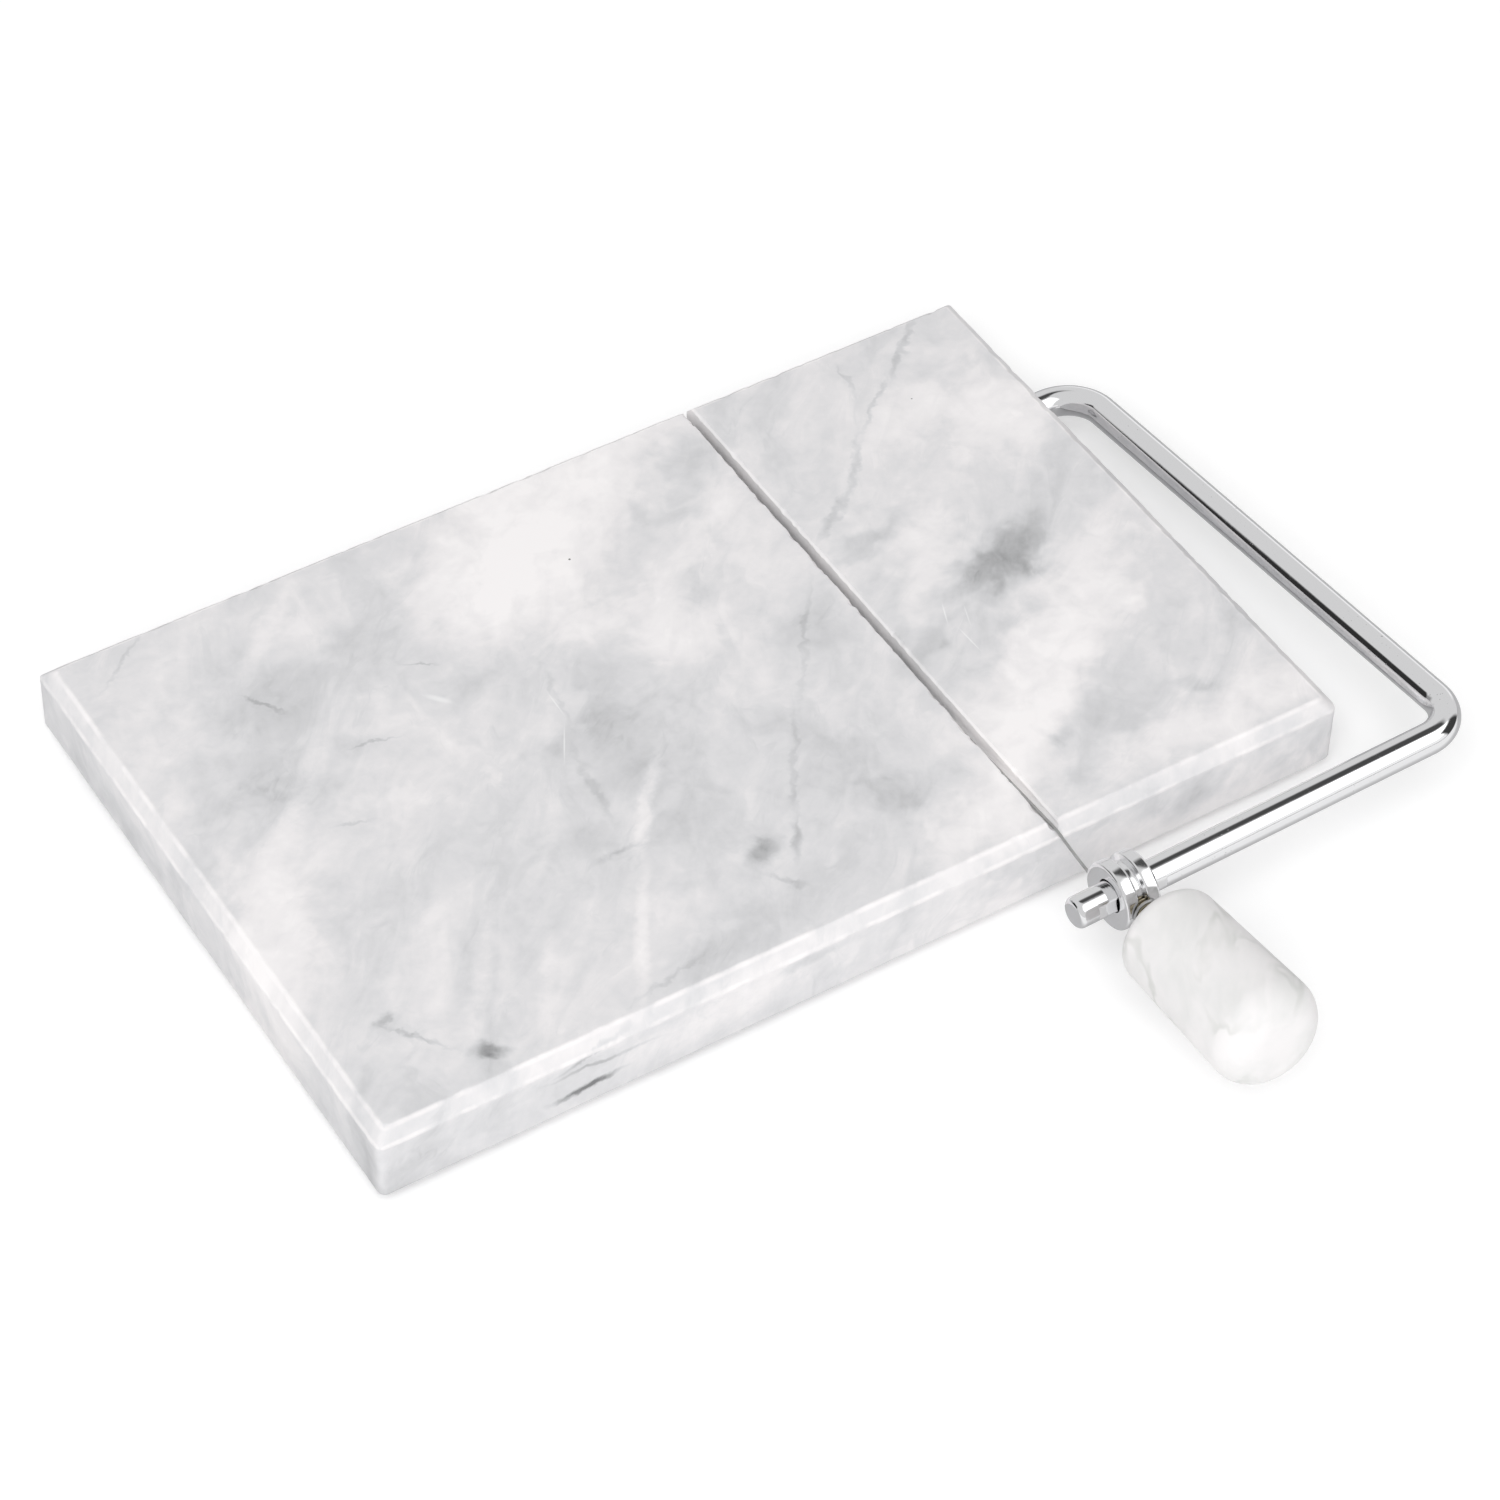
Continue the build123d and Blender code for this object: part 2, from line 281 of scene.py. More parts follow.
def skin(name: str, rings: Array, ends: Ends, sharp_from: float = 40.0) -> bpy.types.Object:
    """Closes a stack of rings into one watertight piece with its faces outwards.

    Corner j of ring i is joined with corner j + 1 and with the same corners of ring i + 1.

    Args:
        name: name of the piece.
        rings: points shaped (rings, around, 3).
        ends: how the first and the last ring are closed.
        sharp_from: edges that turn by more degrees than this stay sharp.

    Returns:
        The new object, at the origin.
    """
    count, around = rings.shape[:2]
    points = rings.reshape(-1, 3)
    ring = np.arange(count if ends is Ends.LOOPED else count - 1)[:, None]
    turn = np.arange(around)[None, :]
    above, onward = (ring + 1) % count, (turn + 1) % around
    corners = [ring * around + turn, ring * around + onward, above * around + onward]
    corners.append(above * around + turn)
    faces = np.stack(np.broadcast_arrays(*corners), -1).reshape(-1, 4).tolist()
    last = (count - 1) * around
    if ends is Ends.FLAT:
        faces += [list(range(around))[::-1], list(range(last, last + around))]
    if ends is Ends.POLE:
        first_pole, last_pole = len(points), len(points) + 1
        points = np.concatenate([points, rings[:1].mean(1), rings[-1:].mean(1)])
        now, then = turn[0], (turn[0] + 1) % around
        fans = [np.stack([then, now, np.full(around, first_pole)], -1)]
        fans.append(np.stack([last + now, last + then, np.full(around, last_pole)], -1))
        faces += np.concatenate(fans).tolist()
    mesh = bpy.data.meshes.new(name)
    mesh.from_pydata(points.tolist(), [], faces)
    if signed_volume(mesh) < 0:
        mesh.flip_normals()
    shade(mesh, sharp_from)
    return linked(name, mesh)


def carve(piece: bpy.types.Object, cutter: bpy.types.Object, sharp_from: float = 40.0) -> None:
    """Cuts one closed piece out of another and removes the cutter.

    Args:
        piece: what is cut.
        cutter: closed shape that is taken away.
        sharp_from: edges that turn by more degrees than this stay sharp afterwards.
    """
    cut = piece.modifiers.new("cut", "BOOLEAN")
    cut.operation, cut.solver, cut.object = "DIFFERENCE", "EXACT", cutter
    bpy.context.view_layer.update()
    graph = bpy.context.evaluated_depsgraph_get()
    mesh = bpy.data.meshes.new_from_object(piece.evaluated_get(graph))
    piece.modifiers.clear()
    piece.data = mesh
    piece.data.name = piece.name
    bpy.data.objects.remove(cutter)
    shade(mesh, sharp_from)


def joined(name: str, shells: list[bpy.types.Object]) -> bpy.types.Object:
    """Puts several closed shells into one piece and removes them.

    Args:
        name: name of the piece.
        shells: what it is made of.

    Returns:
        The new object, at the origin.
    """
    merged = bmesh.new()
    for shell in shells:
        merged.from_mesh(shell.data)
        bpy.data.objects.remove(shell)
    mesh = bpy.data.meshes.new(name)
    merged.to_mesh(mesh)
    merged.free()
    return linked(name, mesh)


def coat(piece: bpy.types.Object, finish: "Finish") -> None:
    """Makes the finish's material the only one on a piece."""
    piece.data.materials.clear()
    piece.data.materials.append(finish.material())


def dress(piece: bpy.types.Object, body: str, node: str, finish: "Finish") -> None:
    """Gives a new piece its finish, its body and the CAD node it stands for.

    Args:
        piece: the new piece.
        body: CAD body it moves with.
        node: CAD node it stands for.
        finish: the finish, made into a material here.
    """
    coat(piece, finish)
    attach(piece, body)
    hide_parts(node)
    log.info("%s rides on %s and stands for %s", piece.name, body, node)


# ------------------------------------------------------------------ shader maths
class Signal:
    """A number socket that takes part in sums: each operator adds one Math node."""

    def __init__(self, writer: "NodeWriter", socket: bpy.types.NodeSocket) -> None:
        """Wraps a socket of the writer's tree."""
        self.writer, self.socket = writer, socket

    def math(self, operation: str, *terms: Any, clamp: bool = False) -> "Signal":
        """Adds a Math node over the terms and returns its result."""
        settings = {"operation": operation, "use_clamp": clamp}
        return self.writer.signal("ShaderNodeMath", settings, dict(enumerate(terms)))

    def __add__(self, other: Any) -> "Signal":
        """self + other."""
        return self.math("ADD", self, other)

    def __sub__(self, other: Any) -> "Signal":
        """self - other."""
        return self.math("SUBTRACT", self, other)

    def __rsub__(self, other: Any) -> "Signal":
        """other - self."""
        return self.math("SUBTRACT", other, self)

    def __mul__(self, other: Any) -> "Signal":
        """self * other."""
        return self.math("MULTIPLY", self, other)

    def __truediv__(self, other: Any) -> "Signal":
        """self / other."""
        return self.math("DIVIDE", self, other)

    def __rtruediv__(self, other: Any) -> "Signal":
        """other / self."""
        return self.math("DIVIDE", other, self)

    __radd__ = __add__
    __rmul__ = __mul__

    def clamped(self) -> "Signal":
        """The value kept between 0 and 1."""
        return self.math("ADD", self, 0.0, clamp=True)

    def between(self, low: float, high: float) -> "Signal":
        """A smooth step.

        Args:
            low: where the step starts.
            high: where it ends.

        Returns:
            0 below low and 1 above high.
        """
        settings = {"interpolation_type": "SMOOTHSTEP"}
        inputs = {"Value": self, "From Min": low, "From Max": high}
        return self.writer.signal("ShaderNodeMapRange", settings, inputs)

    def absolute(self) -> "Signal":
        """The value without its sign."""
        return self.math("ABSOLUTE", self)

    def larger(self, other: Any) -> "Signal":
        """self or other, whichever is more."""
        return self.math("MAXIMUM", self, other)

    def near(self, middle: float, inner: float, outer: float) -> "Signal":
        """1 within inner of the middle, 0 from outer on, and a smooth step between."""
        return 1 - (self - middle).absolute().between(inner, outer)


class NodeWriter:
    """Writes the nodes of one material or world."""

    def __init__(self, owner: Any) -> None:
        """Empties the owner's tree and starts writing in it.

        Args:
            owner: the material or the world.
        """
        owner.use_nodes = True
        self.tree = owner.node_tree
        self.tree.nodes.clear()

    def node(self, kind: str, settings: dict[str, Any], inputs: dict[Any, Any]) -> Any:
        """Adds one node.

        Args:
            kind: type of the node.
            settings: its properties, set first; "stops" are a ramp's (place, colour) pairs.
            inputs: values or links of its sockets, by name or number.

        Returns:
            The node.
        """
        made = self.tree.nodes.new(kind)
        for key, value in settings.items():
            if key != "stops":
                setattr(made, key, value)
                continue
            ramp = made.color_ramp
            while len(ramp.elements) < len(value):
                ramp.elements.new(0.5)
            for element, (place, colour) in zip(ramp.elements, value):
                element.position, element.color = place, (*colour, 1.0)
        for key, value in inputs.items():
            socket = made.inputs[key]
            value = value.socket if isinstance(value, Signal) else value
            if isinstance(value, bpy.types.NodeSocket):
                self.tree.links.new(value, socket)
            elif socket.type == "RGBA" and len(value) == 3:
                socket.default_value = (*value, 1.0)
            else:
                socket.default_value = value
        return made

    def signal(self, kind: str, settings: dict[str, Any], inputs: dict[Any, Any]) -> Signal:
        """Adds one node and wraps its first output."""
        return Signal(self, self.node(kind, settings, inputs).outputs[0])

    def vector(self, operation: str, *terms: Any) -> bpy.types.NodeSocket:
        """Adds a Vector Math node and returns its vector."""
        settings = {"operation": operation}
        return self.node("ShaderNodeVectorMath", settings, dict(enumerate(terms))).outputs[0]

    def measure(self, operation: str, *terms: Any) -> Signal:
        """Adds a Vector Math node that gives a number.

        Args:
            operation: such as LENGTH or DOT_PRODUCT.
            terms: its vectors.

        Returns:
            The number.
        """
        settings = {"operation": operation}
        made = self.node("ShaderNodeVectorMath", settings, dict(enumerate(terms)))
        return Signal(self, made.outputs["Value"])

    def scaled(self, vector: Any, factor: Signal) -> bpy.types.NodeSocket:
        """The vector times a number."""
        inputs = {0: vector, "Scale": factor}
        return self.node("ShaderNodeVectorMath", {"operation": "SCALE"}, inputs).outputs[0]

    def axes(self, vector: Any) -> list[Signal]:
        """The vector's three parts."""
        parts = self.node("ShaderNodeSeparateXYZ", {}, {0: vector}).outputs
        return [Signal(self, part) for part in parts]

    def place(self, centre: Array) -> bpy.types.NodeSocket:
        """Reads Object coordinates in millimetres.

        Args:
            centre: where they start, in metres.

        Returns:
            The coordinates.
        """
        coordinates = self.node("ShaderNodeTexCoord", {}, {}).outputs["Object"]
        inputs = {0: coordinates, "Location": tuple(-centre / MM), "Scale": (1 / MM,) * 3}
        return self.node("ShaderNodeMapping", {"vector_type": "POINT"}, inputs).outputs[0]

    def turned(self, vector: Any, turn: float, stretch: Place) -> Any:
        """Turns and stretches coordinates.

        Args:
            vector: the coordinates.
            turn: degrees about Z that the pattern turns.
            stretch: how many times longer it gets along each axis.

        Returns:
            The vector turned back and divided by stretch.
        """
        rotation = (0.0, 0.0, math.radians(turn))
        inputs = {"Vector": vector, "Rotation": rotation, "Scale": stretch}
        return self.node("ShaderNodeMapping", {"vector_type": "TEXTURE"}, inputs).outputs[0]

    def noise(
        self, vector: Any, size: float, detail: float = 2.0, rough: float = 0.5
    ) -> Signal:
        """Noise from about 0.2 to 0.8 with features of about the given size in mm."""
        inputs = {"Vector": vector, "Scale": 1 / size, "Detail": detail, "Roughness": rough}
        return self.signal("ShaderNodeTexNoise", {}, inputs)

    def warped(self, vector: Any, size: float, reach: float) -> bpy.types.NodeSocket:
        """Pushes coordinates about.

        Args:
            vector: the coordinates.
            size: size of the swirls in mm.
            reach: about twice the farthest push in mm.

        Returns:
            The pushed coordinates.
        """
        inputs = {"Vector": vector, "Scale": 1 / size, "Detail": 2.0}
        swirl = self.node("ShaderNodeTexNoise", {}, inputs).outputs["Color"]
        push = self.vector("SUBTRACT", swirl, (0.5, 0.5, 0.5))
        return self.vector("MULTIPLY_ADD", push, (2 * reach,) * 3, vector)

    def bump(self, height: Signal, distance: float, strength: float = 1.0) -> Any:
        """Normal of a surface raised by height times distance, in metres."""
        inputs = {"Height": height, "Distance": distance, "Strength": strength}
        return self.node("ShaderNodeBump", {}, inputs).outputs[0]

    def ramp(self, value: Signal, stops: list[tuple[float, Colour]]) -> bpy.types.NodeSocket:
        """Colour of a value along a ramp."""
        return self.node("ShaderNodeValToRGB", {"stops": stops}, {"Fac": value}).outputs[0]

    def blend(self, share: Any, low: Any, high: Any) -> bpy.types.NodeSocket:
        """Mixes two colours.

        Args:
            share: how much of the second colour there is, from 0 to 1.
            low: colour at 0.
            high: colour at 1.

        Returns:
            The mixed colour.
        """
        settings = {"data_type": "RGBA", "clamp_factor": True}
        made = self.node("ShaderNodeMix", settings, {"Factor": share, 6: low, 7: high})
        return made.outputs[2]

    def surface(self, inputs: dict[str, Any]) -> None:
        """Ends a material with one Principled shader."""
        shader = self.node("ShaderNodeBsdfPrincipled", {}, inputs).outputs[0]
        self.node("ShaderNodeOutputMaterial", {}, {"Surface": shader})


def specks(write: NodeWriter, place: Any, cell: float, size: float, share: float) -> Signal:
    """Round specks, 1 inside and 0 outside, in some of the cells of a Voronoi pattern.

    A speck is where the distance to the cell's point is under size and the cell's own
    random number is under share.

    Args:
        write: writer of the material.
        place: coordinates in millimetres.
        cell: size of a cell in millimetres.
        size: radius of a speck in millimetres.
        share: share of the cells that have a speck.

    Returns:
        The specks' mask.
    """
    cells = write.node("ShaderNodeTexVoronoi", {}, {"Vector": place, "Scale": 1 / cell})
    away = Signal(write, cells.outputs["Distance"])
    draw = write.signal("ShaderNodeSeparateColor", {}, {"Color": cells.outputs["Color"]})
    return (1 - away.between(0.6 * size / cell, size / cell)) * (1 - draw.between(share, share))


# ------------------------------------------------------------------ finishes
@dataclass(frozen=True)
class Mark:
    """One soft elliptical mark in marble, seen from above, in mm from the piece's middle.

    A tone above 0 lightens and below 0 darkens. A very narrow mark is a vein.
    """

    x: float
    y: float
    half_length: float
    half_width: float
    turn: float
    tone: float

    def draw(self, write: NodeWriter, place: Any) -> Signal:
        """Tone that falls smoothly from the mark's middle to 0 at its rim.

        Args:
            write: writer of the material.
            place: coordinates in millimetres.

        Returns:
            The mark's share of the tone.
        """
        inputs = {
            "Vector": place,
            "Location": (self.x, self.y, 0.0),
            "Rotation": (0.0, 0.0, math.radians(self.turn)),
            "Scale": (self.half_length, self.half_width, 1e4),
        }
        made = write.node("ShaderNodeMapping", {"vector_type": "TEXTURE"}, inputs)
        return (1 - write.measure("LENGTH", made.outputs[0]).between(0.15, 1.05)) * self.tone


def drawn(marks: tuple[Mark, ...], write: NodeWriter, place: Any) -> Signal:
    """Sum of the tones of several marks."""
    first = marks[0].draw(write, place)
    return sum((mark.draw(write, place) for mark in marks[1:]), first)


CLOUDS = (
    Mark(-17, 36, 25, 20, 25, 0.60),
    Mark(2, 54, 52, 19, 22, 0.74),
    Mark(8, 14, 14, 9, 50, 0.50),
    Mark(24, 34, 20, 6, 38, 0.34),
    Mark(-2, 23, 26, 4, 8, 0.30),
    Mark(66, -25, 50, 10, 38, 0.72),
    Mark(88, 32, 17, 15, 110, 0.62),
    Mark(70, 38, 18, 8, 25, 0.28),
    Mark(58, 10, 16, 9, 55, 0.36),
    Mark(-92, -14, 26, 12, 70, 0.62),
    Mark(34, -52, 30, 11, 35, 0.55),
    Mark(78, -57, 36, 9, 5, 0.50),
    Mark(66, -3, 23, 9, 22, -0.78),
    Mark(44, -14, 9, 6, 40, -0.42),
    Mark(47, 15, 9, 5, 10, -0.46),
    Mark(-20, -8, 15, 21, -10, -0.42),
    Mark(-10, 12, 12, 8, 20, -0.30),
    Mark(-38, -25, 10, 8, 30, -0.26),
    Mark(18, -41, 9, 6, 20, -0.30),
    Mark(31, 52, 9, 5, 45, -0.34),
    Mark(28, 4, 20, 9, 45, -0.30),
    Mark(-78, 17, 12, 4, 5, -0.22),
    Mark(-88, -58, 22, 8, -10, -0.28),
    Mark(-85, 58, 20, 8, 25, -0.20),
    Mark(50, 56, 14, 6, 30, -0.20),
    Mark(-55, 36, 24, 14, 20, -0.20),
    Mark(-25, -56, 30, 6, 5, -0.20),
)

NEAR_FACE = (
    Mark(-59.5, -2.9, 9.5, 1.15, 5, -1.25),
    Mark(-56.0, 1.8, 15, 0.8, -3, -0.55),
    Mark(-58.0, 4.8, 10, 0.7, 12, -0.60),
    Mark(-30.0, 1.0, 34, 7, 4, 0.45),
    Mark(-14.0, 3.5, 11, 2.2, 4, -0.45),
    Mark(76.0, -0.5, 34, 6.5, 4, -0.26),
)

STREAKS = (
    Mark(-60, 51, 18, 2.8, 42, 0.36),
    Mark(-74, 12, 22, 3.4, 45, 0.36),
    Mark(-38, -48, 20, 1.9, 58, 0.52),
    Mark(-22, -22, 18, 2.2, 50, 0.62),
    Mark(-66, -40, 24, 2.4, 56, 0.30),
    Mark(-58, -48, 18, 1.8, 58, 0.26),
    Mark(-44, -22, 16, 2.6, 48, 0.22),
)

VEINS = (
    Mark(84, 57, 14, 1.1, 42, -0.55),
    Mark(70, 46, 12, 0.8, 42, -0.50),
    Mark(58, 34, 9, 1.3, 52, -0.55),
    Mark(47, 24, 13, 1.5, 34, -0.52),
    Mark(69, 54, 6, 0.7, 82, -0.40),
    Mark(-83, -48, 9, 0.8, -52, -0.55),
    Mark(-86, -41.5, 3.2, 1.6, 20, -0.60),
    Mark(-74, -57, 5.5, 2.6, -35, -0.78),
    Mark(24, -2, 24, 1.0, 55, -0.30),
    Mark(6, -27, 22, 0.9, 58, -0.30),
    Mark(-10, -42, 5.5, 3.6, 25, -0.80),
    Mark(-4, -43, 7, 1.4, 60, -0.50),
    Mark(-10, -50, 6, 1.0, -52, -0.45),
    Mark(-22, 10, 12, 0.9, 78, -0.26),
    Mark(-28, -14, 14, 1.2, 82, -0.32),
    Mark(-32, -29.5, 8, 1.2, 8, -0.42),
    Mark(-69, 35, 6, 0.7, -62, -0.42),
    Mark(-56, 16.5, 6, 0.5, -12, -0.42),
    Mark(-39, 29.5, 4, 0.5, -30, -0.45),
    Mark(-69, 1, 4.5, 0.7, -24, -0.42),
    Mark(-40, -59, 12, 0.8, 12, -0.32),
    Mark(-86, 58, 12, 0.7, 38, -0.34),
    Mark(51, -46, 4.5, 3.0, 40, -0.42),
    Mark(80, -48, 5.0, 2.6, -30, -0.44),
)

SCRATCHES = (
    Mark(-23.3, 8, 4.2, 0.22, 88, 0.55),
    Mark(-27, -1.5, 6.0, 0.22, 60, 0.55),
    Mark(50.2, -9, 3.6, 0.22, 68, 0.60),
    Mark(50.4, -17, 4.6, 0.22, 92, 0.60),
    Mark(53.5, -11.5, 3.6, 0.20, 70, 0.40),
    Mark(-41, 20, 3.6, 0.9, -50, 0.55),
)


@dataclass(frozen=True)
class Finish:
    """A material whose pattern lies in millimetres round a centre given in metres."""

    name: str
    centre: Place

    def material(self) -> bpy.types.Material:
        """Builds the material.

        Returns:
            The new material, with one Principled shader.
        """
        made = bpy.data.materials.new(self.name)
        write = NodeWriter(made)
        write.surface(self.inputs(write, write.place(np.array(self.centre))))
        return made

    def inputs(self, write: NodeWriter, place: Any) -> dict[str, Any]:
        """What each kind of finish feeds its shader.

        Args:
            write: writer of the material.
            place: coordinates in millimetres from the centre.

        Returns:
            Values or links of the shader's sockets.
        """
        raise NotImplementedError


@dataclass(frozen=True)
class SlabMarble(Finish):
    """Honed white marble with grey clouds, dark veins, pale streaks and fine scratches.

    The patterns run through the stone: below the top they drift sideways with depth.
    Lengths are in mm from the slab's middle.
    """

    top: float
    half: Pair
    slot: float
    drift: Place = (0.20, 0.25, 0.0)
    streak_turn: float = 46.0

    def placed(self, write: NodeWriter, place: Any, stone: Any) -> tuple[Signal, Signal]:
        """Draws the marks that have a place of their own.

        Args:
            write: writer of the material.
            place: coordinates in millimetres.
            stone: the same, drifting with depth.

        Returns:
            Tone of the soft clouds, and of the veins and streaks.
        """
        soft = write.warped(write.warped(stone, 24.0, 8.0), 5.0, 5.5)
        crisp = write.warped(write.warped(stone, 7.0, 1.6), 1.8, 1.3)
        clouds = drawn(CLOUDS, write, soft)
        veins = drawn(VEINS, write, crisp)
        straight = write.warped(write.warped(stone, 14.0, 1.6), 2.2, 0.8)
        veins = veins + drawn(STREAKS, write, straight)
        across, inward, height = write.axes(place)
        faced = write.node("ShaderNodeCombineXYZ", {}, {0: across, 1: height}).outputs[0]
        faced = write.warped(write.warped(faced, 9.0, 1.4), 1.6, 0.7)
        on_front = 1 - inward.between(-64.0, -61.5)
        return clouds, veins + drawn(NEAR_FACE, write, faced) * on_front

    def painted_bevel_light(self, write: NodeWriter, stone: Any, place: Any, depth: Signal) -> Signal:
        """Painted light: a paler bevel, and painted highlight lines along its arrises that noise
        breaks up.

        Args:
            write: writer of the material.
            stone: coordinates that drift with depth.
            place: coordinates in millimetres.
            depth: distance below the top.

        Returns:
            What it adds to the tone.
        """
        across, inward, _ = write.axes(place)
        to_rim = (across.absolute() - self.half[0]).larger(inward.absolute() - self.half[1])
        # Painted light: the bevel is painted paler.
        bevel = to_rim.between(-3.1, -1.9) * (1 - depth.between(2.0, 3.6))
        # Painted highlights along the upper and lower arrises, broken up by noise.
        upper = to_rim.near(-2.35, 0.1, 0.65) * (1 - depth.between(0.4, 0.9))
        lower = depth.near(2.4, 0.1, 0.65) * to_rim.between(-0.7, -0.35)
        highlight_breaks = write.noise(stone, 6.0, 3.0, 0.5).between(0.35, 0.65)
        return bevel * 0.08 + (upper + lower) * highlight_breaks * 0.26

    def inputs(self, write: NodeWriter, place: Any) -> dict[str, Any]:
        """Tone from 0, dark vein, to 1, white cloud, then the tone's colour.

        Args:
            write: writer of the material.
            place: coordinates in millimetres from the centre.

        Returns:
            Values or links of the shader's sockets.
        """
        depth = self.top - write.axes(place)[2]
        stone = write.vector("ADD", place, write.scaled(self.drift, depth))
        clouds, veins = self.placed(write, place, stone)
        scratches = drawn(SCRATCHES, write, stone)

        grain = write.turned(stone, self.streak_turn, (2.0, 1.0, 1.4))
        folded = write.warped(write.warped(grain, 22.0, 12.0), 7.0, 5.0)
        broad = write.noise(folded, 15.0, 6.0, 0.55)
        patches = write.noise(write.warped(stone, 8.0, 6.0), 7.5, 6.0, 0.54)
        fine = write.noise(stone, 1.8, 5.0, 0.68)
        mottle = (broad - 0.5) * 1.05 + (patches - 0.5) * 0.55 + (fine - 0.5) * 0.16
        thread = write.noise(write.warped(folded, 5.0, 2.5), 19.0, 5.0, 0.6)
        seams = thread.near(0.5, 0.0, 0.05) * patches.between(0.44, 0.62)

        tone = 0.565 + mottle * 0.74 + clouds * 0.46 * (patches * 1.2 + 0.45)
        tone = tone + veins * 0.42 * (fine + 0.5) - seams * 0.07
        # Adds the painted light on the bevel and its arrises.
        tone = (tone + self.painted_bevel_light(write, stone, place, depth)).clamped()
        stops = [
            (0.0, (0.20, 0.20, 0.205)),
            (0.20, (0.42, 0.422, 0.43)),
            (0.40, (0.60, 0.60, 0.612)),
            (0.54, (0.69, 0.686, 0.698)),
            (0.72, (0.80, 0.782, 0.788)),
            (1.0, (0.905, 0.882, 0.882)),
        ]
        colour = write.blend(scratches.clamped(), write.ramp(tone, stops), (0.90, 0.90, 0.90))
        dots = specks(write, stone, 17.0, 0.30, 0.30)
        colour = write.blend(dots * 0.85, colour, (0.05, 0.05, 0.05))

        across, inward, _ = write.axes(place)
        # Painted light: the slot's walls are painted paler, and they glow just below the top,
        # lifting the shade inside the slot.
        in_slot = across.near(self.slot, 1.2, 1.75) * inward.between(-64.0, -60.0)
        slot_glow = in_slot * depth.between(0.0, 0.2) * (1 - depth.between(0.2, 3.6))
        pits = specks(write, stone, 1.6, 0.16, 0.25)
        relief = write.noise(stone, 0.35, 3.0, 0.6) * 0.25 - pits * 0.8 - scratches * 0.4
        return {
            "Base Color": write.blend(in_slot * 0.25, colour, (0.82, 0.80, 0.79)),
            "Roughness": 0.40 + (fine - 0.5) * 0.22 - clouds * 0.03,
            "IOR": 1.42,
            "Normal": write.bump(relief, 0.01 * MM),
            # Painted glow on the slot's walls.
            "Emission Color": write.blend(slot_glow, (0.0, 0.0, 0.0), (0.085, 0.082, 0.08)),
            "Emission Strength": 1.0,
        }


@dataclass(frozen=True)
class KnobMarble(Finish):
    """Polished, whiter marble with faint green-grey veins and a few dark specks."""

    vein_turn: float = -38.0

    def inputs(self, write: NodeWriter, place: Any) -> dict[str, Any]:
        """Cloudy white, then veins, then specks.

        Args:
            write: writer of the material.
            place: coordinates in millimetres from the centre.

        Returns:
            Values or links of the shader's sockets.
        """
        grain = write.turned(place, self.vein_turn, (1.0, 2.6, 1.2))
        cloud = write.noise(write.warped(grain, 11.0, 5.0), 9.0, 4.0, 0.55)
        thread = write.noise(write.warped(grain, 9.0, 4.0), 12.0, 3.0, 0.5)
        vein = thread.near(0.5, 0.0, 0.045) * write.noise(place, 16.0).between(0.40, 0.62)
        fine = write.noise(place, 1.3, 4.0, 0.6)
        stops = [
            (0.0, (0.64, 0.64, 0.635)),
            (0.38, (0.76, 0.755, 0.75)),
            (0.56, (0.825, 0.81, 0.81)),
            (1.0, (0.875, 0.85, 0.85)),
        ]
        colour = write.ramp((cloud + (fine - 0.5) * 0.05).clamped(), stops)
        colour = write.blend(vein * 0.6, colour, (0.58, 0.59, 0.565))
        dots = specks(write, place, 9.0, 0.26, 0.22)
        relief = write.noise(place, 0.5, 3.0, 0.6) * 0.3
        return {
            "Base Color": write.blend(dots * 0.9, colour, (0.06, 0.06, 0.05)),
            "Roughness": 0.40 + fine * 0.10,
            "IOR": 1.4,
            "Normal": write.bump(relief, 0.0015 * MM),
        }


@dataclass(frozen=True)
class Chrome(Finish):
    """Bright plating with pinpricks and faint rub marks; lathe adds turned lines."""

    tint: Colour = (0.86, 0.86, 0.87)
    roughness: float = 0.055
    lathe: float = 0.0  # radians of the lines' wave for each mm from the axis

    def inputs(self, write: NodeWriter, place: Any) -> dict[str, Any]:
        """Plain plating, then its marks.

        Args:
            write: writer of the material.
            place: coordinates in millimetres from the centre.

        Returns:
            Values or links of the shader's sockets.
        """
        smear = write.noise(write.warped(place, 5.0, 2.0), 3.0, 5.0, 0.65)
        patchy = write.noise(place, 14.0).between(0.46, 0.66)
        pricks = specks(write, place, 1.1, 0.13, 0.34) * patchy
        big_pricks = specks(write, place, 5.0, 0.28, 0.28) * patchy
        marks = (pricks * 0.55 + big_pricks * 0.75).clamped()
        relief = smear * 0.35 - marks * 0.8
        if self.lathe:
            radial = write.vector("MULTIPLY", place, (0.0, 1.0, 1.0))
            phase = write.measure("LENGTH", radial) * self.lathe
            relief = relief + phase.math("SINE", phase) * 0.10
        return {
            "Base Color": write.blend(marks, self.tint, (0.30, 0.30, 0.30)),
            "Metallic": 1.0,
            "Roughness": self.roughness + smear.between(0.5, 0.8) * 0.10 + marks * 0.3,
            "Normal": write.bump(relief, 0.02 * MM),
        }


@dataclass(frozen=True)
class DrawnSteel(Finish):
    """Hard-drawn wire: satin steel with fine lines along its length."""

    tint: Colour = (0.46, 0.46, 0.46)

    def inputs(self, write: NodeWriter, place: Any) -> dict[str, Any]:
        """Drawing lines and dull patches.

        Args:
            write: writer of the material.
            place: coordinates in millimetres from the centre.

        Returns:
            Values or links of the shader's sockets.
        """
        lines = write.noise(write.turned(place, 0.0, (1.0, 30.0, 1.0)), 0.08, 3.0, 0.6)
        dull = write.noise(place, 4.0, 3.0, 0.6)
        return {
            "Base Color": write.blend(dull.between(0.35, 0.7), self.tint, (0.62, 0.62, 0.61)),
            "Metallic": 1.0,
            "Roughness": 0.26 + lines * 0.16,
            "Normal": write.bump(lines, 0.01 * MM),
        }


